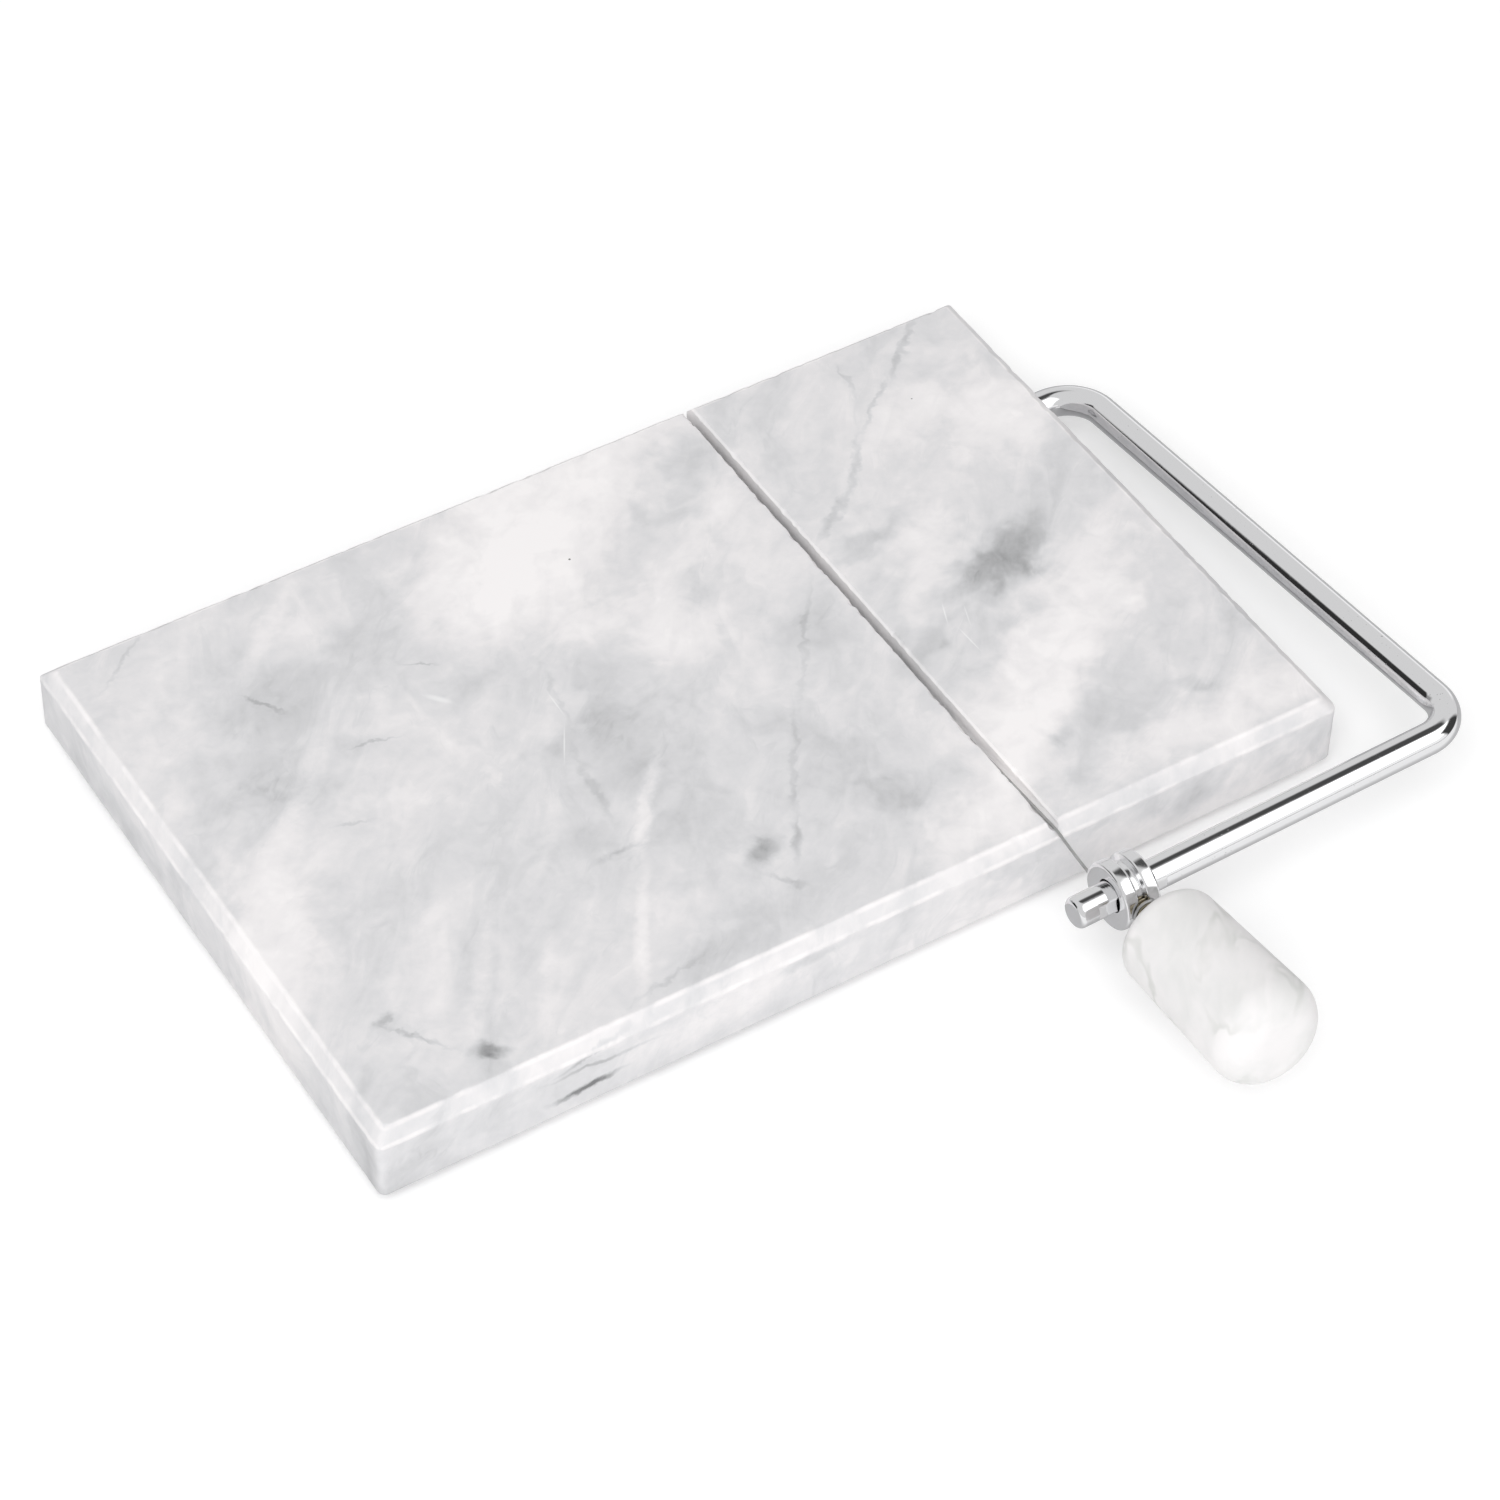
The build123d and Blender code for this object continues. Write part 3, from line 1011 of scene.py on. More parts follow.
@dataclass(frozen=True)
class PlatedThread(Finish):
    """Yellow-passivated screw thread, with painted shade that darkens its roots and leaves the
    crests bright.
    """

    axis: Place
    root: float  # radii in mm
    crest: float

    def inputs(self, write: NodeWriter, place: Any) -> dict[str, Any]:
        """Colour by the distance from the screw's axis.

        Args:
            write: writer of the material.
            place: coordinates in millimetres from the centre.

        Returns:
            Values or links of the shader's sockets.
        """
        run = write.measure("DOT_PRODUCT", place, self.axis)
        shadow = write.scaled(self.axis, run)
        out = write.measure("LENGTH", write.vector("SUBTRACT", place, shadow))
        # Painted shade: near black in the thread roots, the plating's colour on the crests.
        bright = out.between(self.root, self.crest)
        grime = write.noise(place, 0.7, 4.0, 0.6)
        steel = write.blend(grime.between(0.4, 0.65), (0.60, 0.54, 0.40), (0.48, 0.42, 0.30))
        return {
            # Painted shade in the roots, mixed in by the distance from the axis.
            "Base Color": write.blend(bright * (grime + 0.4), (0.10, 0.085, 0.06), steel),
            "Metallic": 1.0,
            "Roughness": 0.24 + (1 - bright) * 0.30,
            "Normal": write.bump(grime, 0.02 * MM),
        }


@dataclass(frozen=True)
class SoftRubber(Finish):
    """Moulded translucent grey rubber with a fine orange-peel skin and some dust."""

    def inputs(self, write: NodeWriter, place: Any) -> dict[str, Any]:
        """Peel and dust.

        Args:
            write: writer of the material.
            place: coordinates in millimetres from the centre.

        Returns:
            Values or links of the shader's sockets.
        """
        peel = write.noise(place, 0.4, 3.0, 0.5)
        dust = write.noise(place, 3.0, 5.0, 0.65).between(0.45, 0.75)
        return {
            "Base Color": write.blend(dust, (0.42, 0.42, 0.41), (0.58, 0.57, 0.55)),
            "Roughness": 0.48 + peel * 0.2,
            "Normal": write.bump(peel, 0.04 * MM),
        }


# ------------------------------------------------------------------ sub-assemblies
@dataclass
class Layout:
    """Places that every piece shares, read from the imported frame."""

    slab_low: Array = field(default_factory=lambda: np.array(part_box("board")[0]))
    slab_high: Array = field(default_factory=lambda: np.array(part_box("board")[1]))
    pivot: Array = field(default_factory=lambda: joint_value("bow_hinge", "pos_m"))
    spool: Array = field(default_factory=lambda: joint_value("knob_turn", "pos_m"))
    knob_axis: Array = field(default_factory=lambda: unit(joint_value("knob_turn", "axis")))
    rod_radius: float = 3.0 * MM
    wire_radius: float = 0.3 * MM
    stud_radius: float = 2.0 * MM
    spool_radius: float = 6.5 * MM
    groove_radius: float = 5.2 * MM
    bevel: float = 2.4 * MM
    slot_run_out: float = 1.0 * MM  # from the near face to where the slot's floor comes out
    clearance: float = 0.08 * MM  # between parts that turn in each other
    wire_gap: float = 0.1 * MM  # between the resting wire and the slot's floor

    @property
    def slot_x(self) -> float:
        """The slot's middle, where the spool sits too."""
        return float(self.spool[0])

    @property
    def slab_centre(self) -> Array:
        """Middle of the slab."""
        return (self.slab_low + self.slab_high) / 2

    @property
    def reach(self) -> float:
        """Distance from the pivot axis to the spool's axis in the bow's plane."""
        return float((self.spool - self.pivot) @ self.knob_axis)

    @property
    def bow_axes(self) -> Axes:
        """Bow's plane: side is +X, along leads from the pivot to the knob."""
        origin = self.pivot * np.array([0.0, 1.0, 1.0])
        return Axes(origin, X_AXIS, np.cross(self.knob_axis, X_AXIS), self.knob_axis)

    @property
    def knob_axes(self) -> Axes:
        """Knob's axis: along leads from the spool's middle out through the knob."""
        return Axes(self.spool, X_AXIS, np.cross(self.knob_axis, X_AXIS), self.knob_axis)

    @property
    def slot_start(self) -> Array:
        """Where the slot's floor runs out on the near bevel."""
        near, out = self.slab_low[1], self.slot_run_out
        return np.array([self.slot_x, near + out, self.slab_high[2] - self.bevel + out])


def joint_value(joint: str, key: str) -> Array:
    """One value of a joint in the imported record."""
    found = next(j for j in frame["joints"] if j["name"] == joint)
    return np.array(found[key], float)


@dataclass
class MarbleSlab:
    """The slab: a bevelled plate with a saw-cut slot and a blind bore for the bow."""

    layout: Layout
    arris: float = 0.5 * MM
    corners: tuple[float, float, float, float] = (0.6 * MM, 0.6 * MM, 1.5 * MM, 2.0 * MM)
    spacing: float = 1.1 * MM
    nicks: int = 150
    nick_half_width: float = 1.6 * MM
    nick_depth: float = 0.40 * MM
    unevenness: float = 0.10 * MM
    sharp_from: float = 30.0
    slot_half: float = 1.0 * MM
    slot_waver: float = 0.06 * MM
    saw_step: float = 0.4 * MM
    left_flare: float = 0.20 * MM
    left_nicks: int = 80
    left_nick_half_width: float = 2.0 * MM
    left_nick_depth: float = 0.60 * MM
    right_flare: float = 0.50 * MM
    right_nicks: int = 60
    right_nick_half_width: float = 1.6 * MM
    right_nick_depth: float = 0.35 * MM
    slot_floor_left: float = 3.9 * MM
    bore_end: float = 7.5 * MM  # past the slot's middle
    bore_flare: float = 0.3 * MM

    def outline(self) -> tuple[Array, Array, Array]:
        """One round of a rectangle whose corners have their own radii.

        A point is core * (half size - inset - radius) + way * radius.

        Returns:
            core, from -1 to 1 on each axis; way, the outward direction; and the radius,
            which goes evenly from one corner's to the next along each side.
        """
        half = (self.layout.slab_high - self.layout.slab_low)[:2] / 2
        core, way, radius = [], [], []
        for quarter, along in enumerate((1, 0, 1, 0)):
            angle = quarter * math.pi / 2
            facing = np.round([math.cos(angle), math.sin(angle)])
            tangent = np.array([-facing[1], facing[0]])
            count = int(2 * half[along] / self.spacing)
            run = np.linspace(-1, 1, count)
            last, corner = self.corners[quarter - 1], self.corners[quarter]
            core.append(facing + run[:, None] * tangent)
            way.append(np.tile(facing, (count, 1)))
            radius.append(last + (corner - last) * (run + 1) / 2)
            bend = angle + np.linspace(0, math.pi / 2, 14)[1:-1]
            core.append(np.tile(facing + tangent, (len(bend), 1)))
            way.append(np.stack([np.cos(bend), np.sin(bend)], -1))
            radius.append(np.full(len(bend), corner))
        return np.concatenate(core), np.concatenate(way), np.concatenate(radius)[:, None]

    def plate(self) -> bpy.types.Object:
        """The plate before it is cut: its section is carried round the outline.

        The section runs up the side, over the bevel and in on the top, with every arris
        eased; nicks along the edge push the eased rings inwards.

        Returns:
            The closed plate.
        """
        low, high = self.layout.slab_low, self.layout.slab_high
        thickness = high[2] - low[2]
        bevel = self.layout.bevel
        inside = 3 * bevel
        corners = [
            (inside, 0.0),
            (0.0, 0.0),
            (0.0, thickness - bevel),
            (bevel, thickness),
            (inside, thickness),
        ]
        section = rounded_path(corners, [self.arris] * 3, 7)
        core, way, radius = self.outline()
        half = (high - low)[:2] / 2
        flat = core * half
        edge = np.concatenate([[0], np.cumsum(np.linalg.norm(np.diff(flat, axis=0), axis=1))])
        eased = np.ones(len(section))
        eased[[0, -1]] = 0
        span = (0, edge[-1])
        nicks = chips(edge, Seed.EDGE_NICKS, span, self.nicks, self.nick_half_width)
        waver = 0.5 + 0.5 * wander(edge, Seed.EDGE_WAVER, 90 * MM, 4 * MM)
        upper = np.clip(section[:, 1] / thickness * 2 - 1, 0, 1) * eased
        inset = section[:, :1] + eased[:, None] * waver * self.unevenness
        inset = inset + (upper[:, None] * nicks) * self.nick_depth
        reach = half - inset[..., None] - radius
        level = core * reach + way * radius + self.layout.slab_centre[:2]
        height = np.broadcast_to(low[2] + section[:, 1][:, None], inset.shape)
        rings = np.concatenate([level, height[..., None]], -1)
        return skin("marble_slab", rings, Ends.FLAT, self.sharp_from)

    def saw_cut(self) -> bpy.types.Object:
        """What the saw takes away: a round-floored section that sinks as it goes in.

        The floor falls in a straight line from the near bevel; both top edges flare by a
        small arris, and the left one is broken by more and larger nicks.

        Returns:
            The closed cutter.
        """
        layout, half = self.layout, self.slot_half
        start, far, top = layout.slot_start, layout.slab_high[1], layout.slab_high[2]
        y = np.arange(start[1] - 1.5 * MM, far + 3 * MM, self.saw_step)
        drop = start[2] - layout.slab_low[2] - self.slot_floor_left
        floor = start[2] - (y - start[1]) * drop / (far - start[1])
        centre = floor + half
        room = top - centre - 0.02 * MM
        span = (start[1] + 4 * MM, far)
        left = chips(y, Seed.LEFT_NICKS, span, self.left_nicks, self.left_nick_half_width)
        left = np.minimum(self.left_flare + left * self.left_nick_depth, room)
        right = chips(y, Seed.RIGHT_NICKS, span, self.right_nicks, self.right_nick_half_width)
        right = np.minimum(self.right_flare + right * self.right_nick_depth, room)
        waver = wander(y, Seed.SLOT_WAVER, 60 * MM, 2 * MM) * self.slot_waver
        over = 3 * MM
        sweep = np.linspace(math.pi, 2 * math.pi, 9)
        x = [-half - left - over, -half - left, np.full_like(y, -half)]
        z = [top + over + 0 * y, top + 0 * y, top - left]
        x += [half * math.cos(a) + 0 * y for a in sweep]
        z += [centre + half * math.sin(a) for a in sweep]
        x += [np.full_like(y, half), half + right, half + right + over]
        z += [top - right, top + 0 * y, top + over + 0 * y]
        x = np.stack(x, -1) + waver[:, None] + layout.slot_x
        z = np.stack(z, -1)
        rings = np.stack([x, np.broadcast_to(y[:, None], x.shape), z], -1)
        return skin("saw_cut", rings, Ends.FLAT)

    def pivot_bore(self) -> bpy.types.Object:
        """What the drill takes away: a blind bore from the right face across the slot.

        Returns:
            The closed cutter, flared at the bore's mouth.
        """
        layout = self.layout
        axes = Axes(layout.bow_axes.origin, np.cross(X_AXIS, Z_AXIS), Z_AXIS, X_AXIS)
        bottom, mouth = layout.slot_x - self.bore_end, layout.slab_high[0]
        along = np.array([bottom, mouth - self.bore_flare, mouth + 0.01 * MM, mouth + 1 * MM])
        radius = layout.rod_radius + layout.clearance + np.array([0, 0, 1, 1]) * self.bore_flare
        return skin("pivot_bore", axes.revolve(along, radius, 72), Ends.FLAT)

    def build(self) -> bpy.types.Object:
        """Cuts the plate and dresses it.

        Returns:
            The slab.
        """
        slab = self.plate()
        carve(slab, self.saw_cut(), self.sharp_from)
        carve(slab, self.pivot_bore(), self.sharp_from)
        centre = self.layout.slab_centre
        half = (self.layout.slab_high - centre) / MM
        slot = float(self.layout.slot_x - centre[0]) / MM
        top, sides = float(half[2]), tuple(half[:2])
        finish = SlabMarble("honed_marble", tuple(centre), top, sides, slot)
        dress(slab, "base", "board", finish)
        return slab


@dataclass
class RubberFoot:
    """One bumper under the slab: a rounded button with a hollow underside."""

    node: str
    taper: float = 0.8 * MM
    rounding: float = 0.6 * MM
    hollow: float = 2.6 * MM
    hollow_depth: float = 0.4 * MM

    def build(self) -> bpy.types.Object:
        """Turns the foot's section about its own upright axis and dresses it.

        Returns:
            The foot.
        """
        low, high = (np.array(corner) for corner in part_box(self.node))
        centre = (low + high) / 2
        radius, height = (high[0] - low[0]) / 2, high[2] - low[2]
        tiny = 0.01 * MM
        corners = [
            (height, tiny),
            (height, radius),
            (0.0, radius - self.taper),
            (0.0, self.hollow),
            (self.hollow_depth, self.hollow - 0.4 * MM),
            (self.hollow_depth, tiny),
        ]
        section = rounded_path(corners, [0.15 * MM, self.rounding, 0.3 * MM, 0.3 * MM])
        origin = centre * np.array([1.0, 1.0, 0.0])
        axes = Axes(origin, X_AXIS, np.cross(Z_AXIS, X_AXIS), Z_AXIS)
        rings = axes.revolve(section[:, 0], section[:, 1], 64)
        foot = skin(f"rubber_{self.node}", rings, Ends.POLE)
        dress(foot, "base", self.node, SoftRubber("foot_rubber", tuple(centre)))
        return foot


@dataclass
class BentRod:
    """The bow's rod: a round bar bent twice, with a flat for the stud and a cross hole.

    Drills are the radius, start and end of the wire's hole and of its bead's pocket, along
    the wire from the pivot's axis.
    """

    layout: Layout
    bridge_gap: float = 8.0 * MM
    splay: float = 1.4  # degrees that the near leg leans
    bend_radius: float = 8.2 * MM
    leg_past_slot: float = 6.0 * MM
    tip_past_slot: float = 11.1 * MM
    tip_rounding: float = 1.1 * MM
    end_chamfer: float = 0.6 * MM
    flat_depth: float = 0.4 * MM
    flat_half_length: float = 7.3 * MM
    sharp_from: float = 32.0
    drills: tuple[Place, ...] = (
        (0.4 * MM, -4 * MM, 4 * MM),
        (0.95 * MM, 1.1 * MM, 5 * MM),
    )

    def route(self) -> Array:
        """Centre line of the bar, bent twice.

        Returns:
            Points in the bow's plane, as (across, away from the pivot) pairs.
        """
        layout = self.layout
        lean = math.tan(math.radians(self.splay))
        bridge = layout.slab_high[0] + self.bridge_gap + layout.rod_radius
        across = (bridge + lean * (layout.reach + lean * layout.slot_x)) / (1 + lean**2)
        away = layout.reach - lean * (across - layout.slot_x)
        tip = layout.slot_x - self.tip_past_slot
        corners = [
            (layout.slot_x - self.leg_past_slot, 0.0),
            (bridge, 0.0),
            (across, away),
            (tip, layout.reach + lean * self.tip_past_slot),
        ]
        return rounded_path(corners, [self.bend_radius] * 2, 60)

    def bar(self) -> bpy.types.Object:
        """The bar before it is drilled: a circle carried along the route.

        The radius shrinks over the rounded tip as r - t + sqrt(t^2 - (t - e)^2), where e is
        the distance from the end, and points past the flat's plane are planed back to it.

        Returns:
            The closed bar.
        """
        layout = self.layout
        route, radius = self.route(), layout.rod_radius
        length = length_of(route)
        flat_middle = length - self.tip_past_slot
        flat_ends = flat_middle + self.flat_half_length * np.array([-1.001, -1, 1, 1.001])
        tip = length - self.tip_rounding * (1 - np.cos(np.linspace(0, math.pi / 2, 9)))
        stations = [np.arange(0, length - self.tip_rounding, 0.5 * MM), flat_ends, tip]
        stations = np.unique(np.concatenate([*stations, [self.end_chamfer]]))
        centre = along_path(route, stations)
        step = 0.02 * MM
        ahead = along_path(route, np.clip(stations + step, 0, length))
        behind = along_path(route, np.clip(stations - step, 0, length))
        heading = unit(ahead - behind)
        left = length - stations
        rest = np.clip(self.tip_rounding - left, 0, None)
        shrink = self.tip_rounding - np.sqrt(self.tip_rounding**2 - rest**2)
        shrink = np.maximum(shrink, np.clip(self.end_chamfer - stations, 0, None))
        around = angles(56)
        outward = (radius - shrink)[:, None] * np.cos(around)
        rise = (radius - shrink)[:, None] * np.sin(around)
        across = centre[:, :1] + outward * heading[:, 1:]
        away = centre[:, 1:] - outward * heading[:, :1]
        on_flat = (np.abs(stations - flat_middle) <= self.flat_half_length * 1.0001)[:, None]
        plane = layout.reach + radius - self.flat_depth
        away = np.where(on_flat, np.minimum(away, plane), away)
        rings = layout.bow_axes.place(across, rise, away)
        return skin("chrome_rod", rings, Ends.FLAT, self.sharp_from)

    def cross_hole(self, radius: float, start: float, end: float) -> bpy.types.Object:
        """A drill along the wire's own line through the pivot leg.

        Args:
            radius: its radius.
            start: where it starts, from the pivot's axis.
            end: where it ends.

        Returns:
            The closed cutter.
        """
        layout = self.layout
        line = wire_line(layout)
        origin = layout.pivot * np.array([0, 1, 1]) + layout.slot_x * X_AXIS
        axes = Axes(origin, X_AXIS, np.cross(line, X_AXIS), line)
        ends = np.array([start, end])
        return skin("drill", axes.revolve(ends, np.full(2, radius), 40), Ends.FLAT)

    def build(self) -> bpy.types.Object:
        """Drills the bar and dresses it.

        Returns:
            The rod.
        """
        rod = self.bar()
        for drill in self.drills:
            carve(rod, self.cross_hole(*drill), self.sharp_from)
        finish = Chrome("rod_chrome", tuple(self.layout.spool))
        dress(rod, "bow", "bow_rod", finish)
        return rod


def wire_line(layout: Layout) -> Array:
    """Direction of the wire in the slot.

    Args:
        layout: the places that every piece shares.

    Returns:
        The unit direction from the lip up to the pivot.
    """
    lip = layout.slot_start + (layout.wire_radius + layout.wire_gap) * Z_AXIS
    pivot = layout.pivot * np.array([0, 1, 1]) + layout.slot_x * X_AXIS
    return unit(pivot - lip)


@dataclass
class GroovedSpool:
    """The roller that holds the wire: two flanges, a groove and hollowed faces."""

    layout: Layout
    half_length: float = 3.6 * MM
    bore: float = 3.2 * MM
    rim: float = 1.0 * MM
    hollow: float = 0.5 * MM
    groove_half: float = 1.1 * MM
    groove_floor_half: float = 0.5 * MM
    sharp_from: float = 36.0

    def build(self) -> bpy.types.Object:
        """Turns the section about the spool's axis, drills it for the stud, dresses it.

        Returns:
            The spool.
        """
        layout = self.layout
        outer, floor = layout.spool_radius, layout.groove_radius
        half = [
            (self.groove_floor_half, floor, 0.30),
            (self.groove_half, outer, 0.45),
            (self.half_length, outer, 0.55),
            (self.half_length, outer - self.rim, 0.30),
            (self.half_length - self.hollow, self.bore, 0.20),
        ]
        ring = [(-x, r, e) for x, r, e in reversed(half)] + half
        corners = [(0.0, self.bore), *((x, r) for x, r, _ in ring), (0.0, self.bore)]
        section = rounded_path(corners, [e * MM for _, _, e in ring], 9)[:-1]
        side = np.cross(layout.knob_axis, X_AXIS)
        axes = Axes(layout.spool, layout.knob_axis, side, X_AXIS)
        rings = axes.revolve(section[:, 0], section[:, 1], 120)
        spool = skin("chrome_spool", rings, Ends.LOOPED, self.sharp_from)
        reach = np.array([4.0, 8.0]) * MM
        hole_radius = layout.stud_radius + layout.clearance
        hole = layout.knob_axes.revolve(reach, np.full(2, hole_radius), 48)
        carve(spool, skin("tap", hole, Ends.FLAT), self.sharp_from)
        finish = Chrome("spool_chrome", tuple(layout.spool), roughness=0.11, lathe=9.0)
        dress(spool, "bow", "spool", finish)
        return spool


@dataclass
class CuttingWire:
    """The wire from its bead in the pivot leg, along the slot and round the spool."""

    layout: Layout
    drop: float = 9.0  # degrees that it dips past the slab's edge
    drop_length: float = 9.4 * MM
    lip_bend: float = 6.0 * MM
    sag_bend: float = 50.0 * MM
    past_pivot: float = 2.8 * MM
    eye_clearance: float = 0.05 * MM

    def route(self) -> Array:
        """Centre line in the slot's middle plane, as (Y, Z) pairs.

        Straight from the bead to the slot's lip, down past the slab's edge, tangent to the
        underside of the groove, round it, and tangent to the bottom of the eye.

        Returns:
            Points of the line.
        """
        layout, wire = self.layout, self.layout.wire_radius
        wrap = layout.groove_radius + wire
        start = layout.pivot + wire_line(layout) * self.past_pivot
        lip = layout.slot_start + (wire + layout.wire_gap) * Z_AXIS
        drop = math.radians(self.drop)
        sag = lip[1:] - self.drop_length * np.array([math.cos(drop), math.sin(drop)])
        spool = layout.spool[1:]
        gap = spool - sag
        far = float(np.linalg.norm(gap))
        heading = math.atan2(gap[1], -gap[0]) - math.asin(wrap / far)
        run = math.sqrt(far**2 - wrap**2)
        touch = sag + run * np.array([-math.cos(heading), math.sin(heading)])
        eye = spool + self.eye_reach * layout.knob_axis[1:] - self.eye_radius * self.upright
        first = math.atan2(*(touch - spool)[::-1]) % (2 * math.pi)
        to_eye = eye - spool
        last = math.atan2(*to_eye[::-1]) % (2 * math.pi)
        last += math.acos(wrap / float(np.linalg.norm(to_eye)))
        sweep = np.linspace(first, last, 40)
        corners = [tuple(start[1:]), tuple(lip[1:]), tuple(sag), tuple(touch)]
        line = rounded_path(corners, [self.lip_bend, self.sag_bend], 24)
        arc = spool + wrap * np.stack([np.cos(sweep), np.sin(sweep)], -1)
        return np.concatenate([line, arc[1:], eye[None]])

    @property
    def upright(self) -> Array:
        """Direction in the (Y, Z) plane that is square to the knob's axis."""
        return np.cross(self.layout.knob_axis, X_AXIS)[1:]

    @property
    def eye_radius(self) -> float:
        """Radius of the eye's centre line round the stud."""
        return self.layout.stud_radius + self.layout.clearance + self.layout.wire_radius

    @property
    def eye_reach(self) -> float:
        """Distance of the eye from the spool's axis."""
        return self.layout.spool_radius + self.layout.wire_radius + self.eye_clearance

    def build(self) -> bpy.types.Object:
        """Carries a circle along the route, adds the eye, dresses the wire and its bead.

        Returns:
            The wire.
        """
        layout, radius = self.layout, self.layout.wire_radius
        route = self.route()
        stations = np.arange(0, length_of(route), 0.35 * MM)
        line = along_path(route, stations)
        heading = unit(np.gradient(line, axis=0))
        turn = angles(14)
        x = layout.slot_x + radius * np.cos(turn) + 0 * stations[:, None]
        y = line[:, :1] - radius * np.sin(turn) * heading[:, 1:]
        z = line[:, 1:] + radius * np.sin(turn) * heading[:, :1]
        run = skin("wire_run", np.stack([x, y, z], -1), Ends.FLAT)
        around = angles(72)[:, None]
        ring = self.eye_radius + radius * np.cos(turn)
        eye_axes = layout.knob_axes
        along = self.eye_reach + radius * np.sin(turn) + 0 * around
        rings = eye_axes.place(ring * np.cos(around), ring * np.sin(around), along)
        wire = joined("steel_wire", [run, skin("wire_eye", rings, Ends.LOOPED)])
        finish = DrawnSteel("drawn_steel", tuple(layout.spool))
        dress(wire, "bow", "cutting_wire", finish)
        coat(frame["nodes"]["wire_bead"], finish)
        return wire


@dataclass
class ThreadedStud:
    """The screw between the knob and the spool, with a real helical thread."""

    layout: Layout
    pitch: float = 0.7 * MM
    depth: float = 0.35 * MM
    start: float = 2.7 * MM
    end: float = 25.3 * MM
    run_out: float = 0.8 * MM

    def build(self) -> bpy.types.Object:
        """Builds the thread and dresses it.

        At height s and angle a the radius is crest - depth * (1 - ridge), where the ridge
        is a flat-topped triangle wave of s / pitch - a / full turn.

        Returns:
            The stud.
        """
        layout = self.layout
        along = np.arange(self.start, self.end, self.pitch / 16)
        around = 56
        phase = along[:, None] / self.pitch - angles(around) / (2 * math.pi)
        wave = 1 - np.abs(2 * (phase % 1.0) - 1)
        ridge = np.clip((wave - 0.12) / 0.70, 0, 1)
        to_end = np.minimum(along - self.start, self.end - along)
        fade = np.clip(to_end / self.run_out, 0, 1)[:, None]
        radius = layout.stud_radius - self.depth * (1 - ridge * fade)
        radius = radius - np.clip(0.3 * MM - to_end, 0, None)[:, None]
        stud = skin("threaded_stud", layout.knob_axes.revolve(along, radius, around), Ends.FLAT)
        root, crest = (layout.stud_radius - self.depth) / MM, layout.stud_radius / MM
        centre, axis = tuple(layout.spool), tuple(layout.knob_axis)
        finish = PlatedThread("plated_thread", centre, axis, root, crest)
        dress(stud, "knob", "stud", finish)
        return stud


@dataclass
class MarbleKnob:
    """The turned marble knob with the blind hole that the stud is glued in."""

    layout: Layout
    start: float = 11.3 * MM
    length: float = 35.4 * MM
    rear_radius: float = 9.65 * MM
    front_radius: float = 10.75 * MM
    rear_rounding: float = 3.2 * MM
    front_rounding: float = 6.0 * MM
    crown: float = 0.3 * MM
    hole_radius: float = 2.05 * MM
    hole_end: float = 25.3 * MM
    out_of_round: float = 0.0015

    def build(self) -> bpy.types.Object:
        """Turns the knob's section about its axis and dresses it.

        The front is domed by moving each point back by crown * (radius / front radius)^2.
        Outside the hole the radius shrinks by out_of_round * (1 + sin(3 angle + 1)).

        Returns:
            The knob.
        """
        end, tiny = self.start + self.length, 0.01 * MM
        corners = [
            (self.hole_end, tiny),
            (self.hole_end, self.hole_radius),
            (self.start, self.hole_radius),
            (self.start, self.rear_radius),
            (end, self.front_radius),
            (end, tiny),
        ]
        radii = [0.0, 0.3 * MM, self.rear_rounding, self.front_rounding]
        section = rounded_path(corners, radii, 26)
        steps = np.linalg.norm(np.diff(section, axis=0), axis=1)
        own = np.concatenate([[0], np.cumsum(steps)])
        stations = np.unique(np.concatenate([own, np.linspace(0, own[-1], 160)]))
        along, radius = along_path(section, stations).T
        front = along > self.start + self.length / 2
        along = along - np.where(front, self.crown * (radius / self.front_radius) ** 2, 0)
        lobes = (1 + np.sin(3 * angles(128) + 1.0)) * (along > self.start)[:, None]
        radius = radius[:, None] * (1 - self.out_of_round * lobes)
        rings = self.layout.knob_axes.revolve(along, radius, 128)
        knob = skin("marble_knob", rings, Ends.POLE)
        middle = self.layout.spool + self.layout.knob_axis * (self.start + self.length / 2)
        finish = KnobMarble("polished_marble", tuple(middle))
        dress(knob, "knob", "knob", finish)
        return knob


# ------------------------------------------------------------------ studio
@dataclass(frozen=True)
class Panel:
    """One soft-edged panel of the studio that bright metal reflects."""

    azimuth: float  # degrees from +Y towards +X
    elevation: float
    half_width: float  # tangents of half the angles it covers
    half_height: float
    brightness: float
    softness: float = 0.25

    def facing(self) -> tuple[Array, Array, Array]:
        """Works out how the panel stands.

        Returns:
            Directions to its middle, to its right and up.
        """
        a, e = math.radians(self.azimuth), math.radians(self.elevation)
        middle = np.array([math.sin(a) * math.cos(e), math.cos(a) * math.cos(e), math.sin(e)])
        right = np.array([math.cos(a), -math.sin(a), 0.0])
        return middle, right, np.cross(right, middle)

    def mask(self, write: NodeWriter, way: Any) -> Signal:
        """1 inside the panel and 0 outside.

        With u and v the sideways and upward tangents, the edge is where u / half width or v
        / half height, whichever is more, passes 1.

        Args:
            write: writer of the world.
            way: direction of the ray.

        Returns:
            The panel's mask.
        """
        middle, right, up = self.facing()
        ahead = write.measure("DOT_PRODUCT", way, tuple(middle))
        depth = ahead.larger(0.001)
        u = write.measure("DOT_PRODUCT", way, tuple(right)) / depth / self.half_width
        v = write.measure("DOT_PRODUCT", way, tuple(up)) / depth / self.half_height
        edge = u.absolute().larger(v.absolute())
        return (1 - edge.between(1 - self.softness, 1 + self.softness)) * ahead.between(0, 0.05)


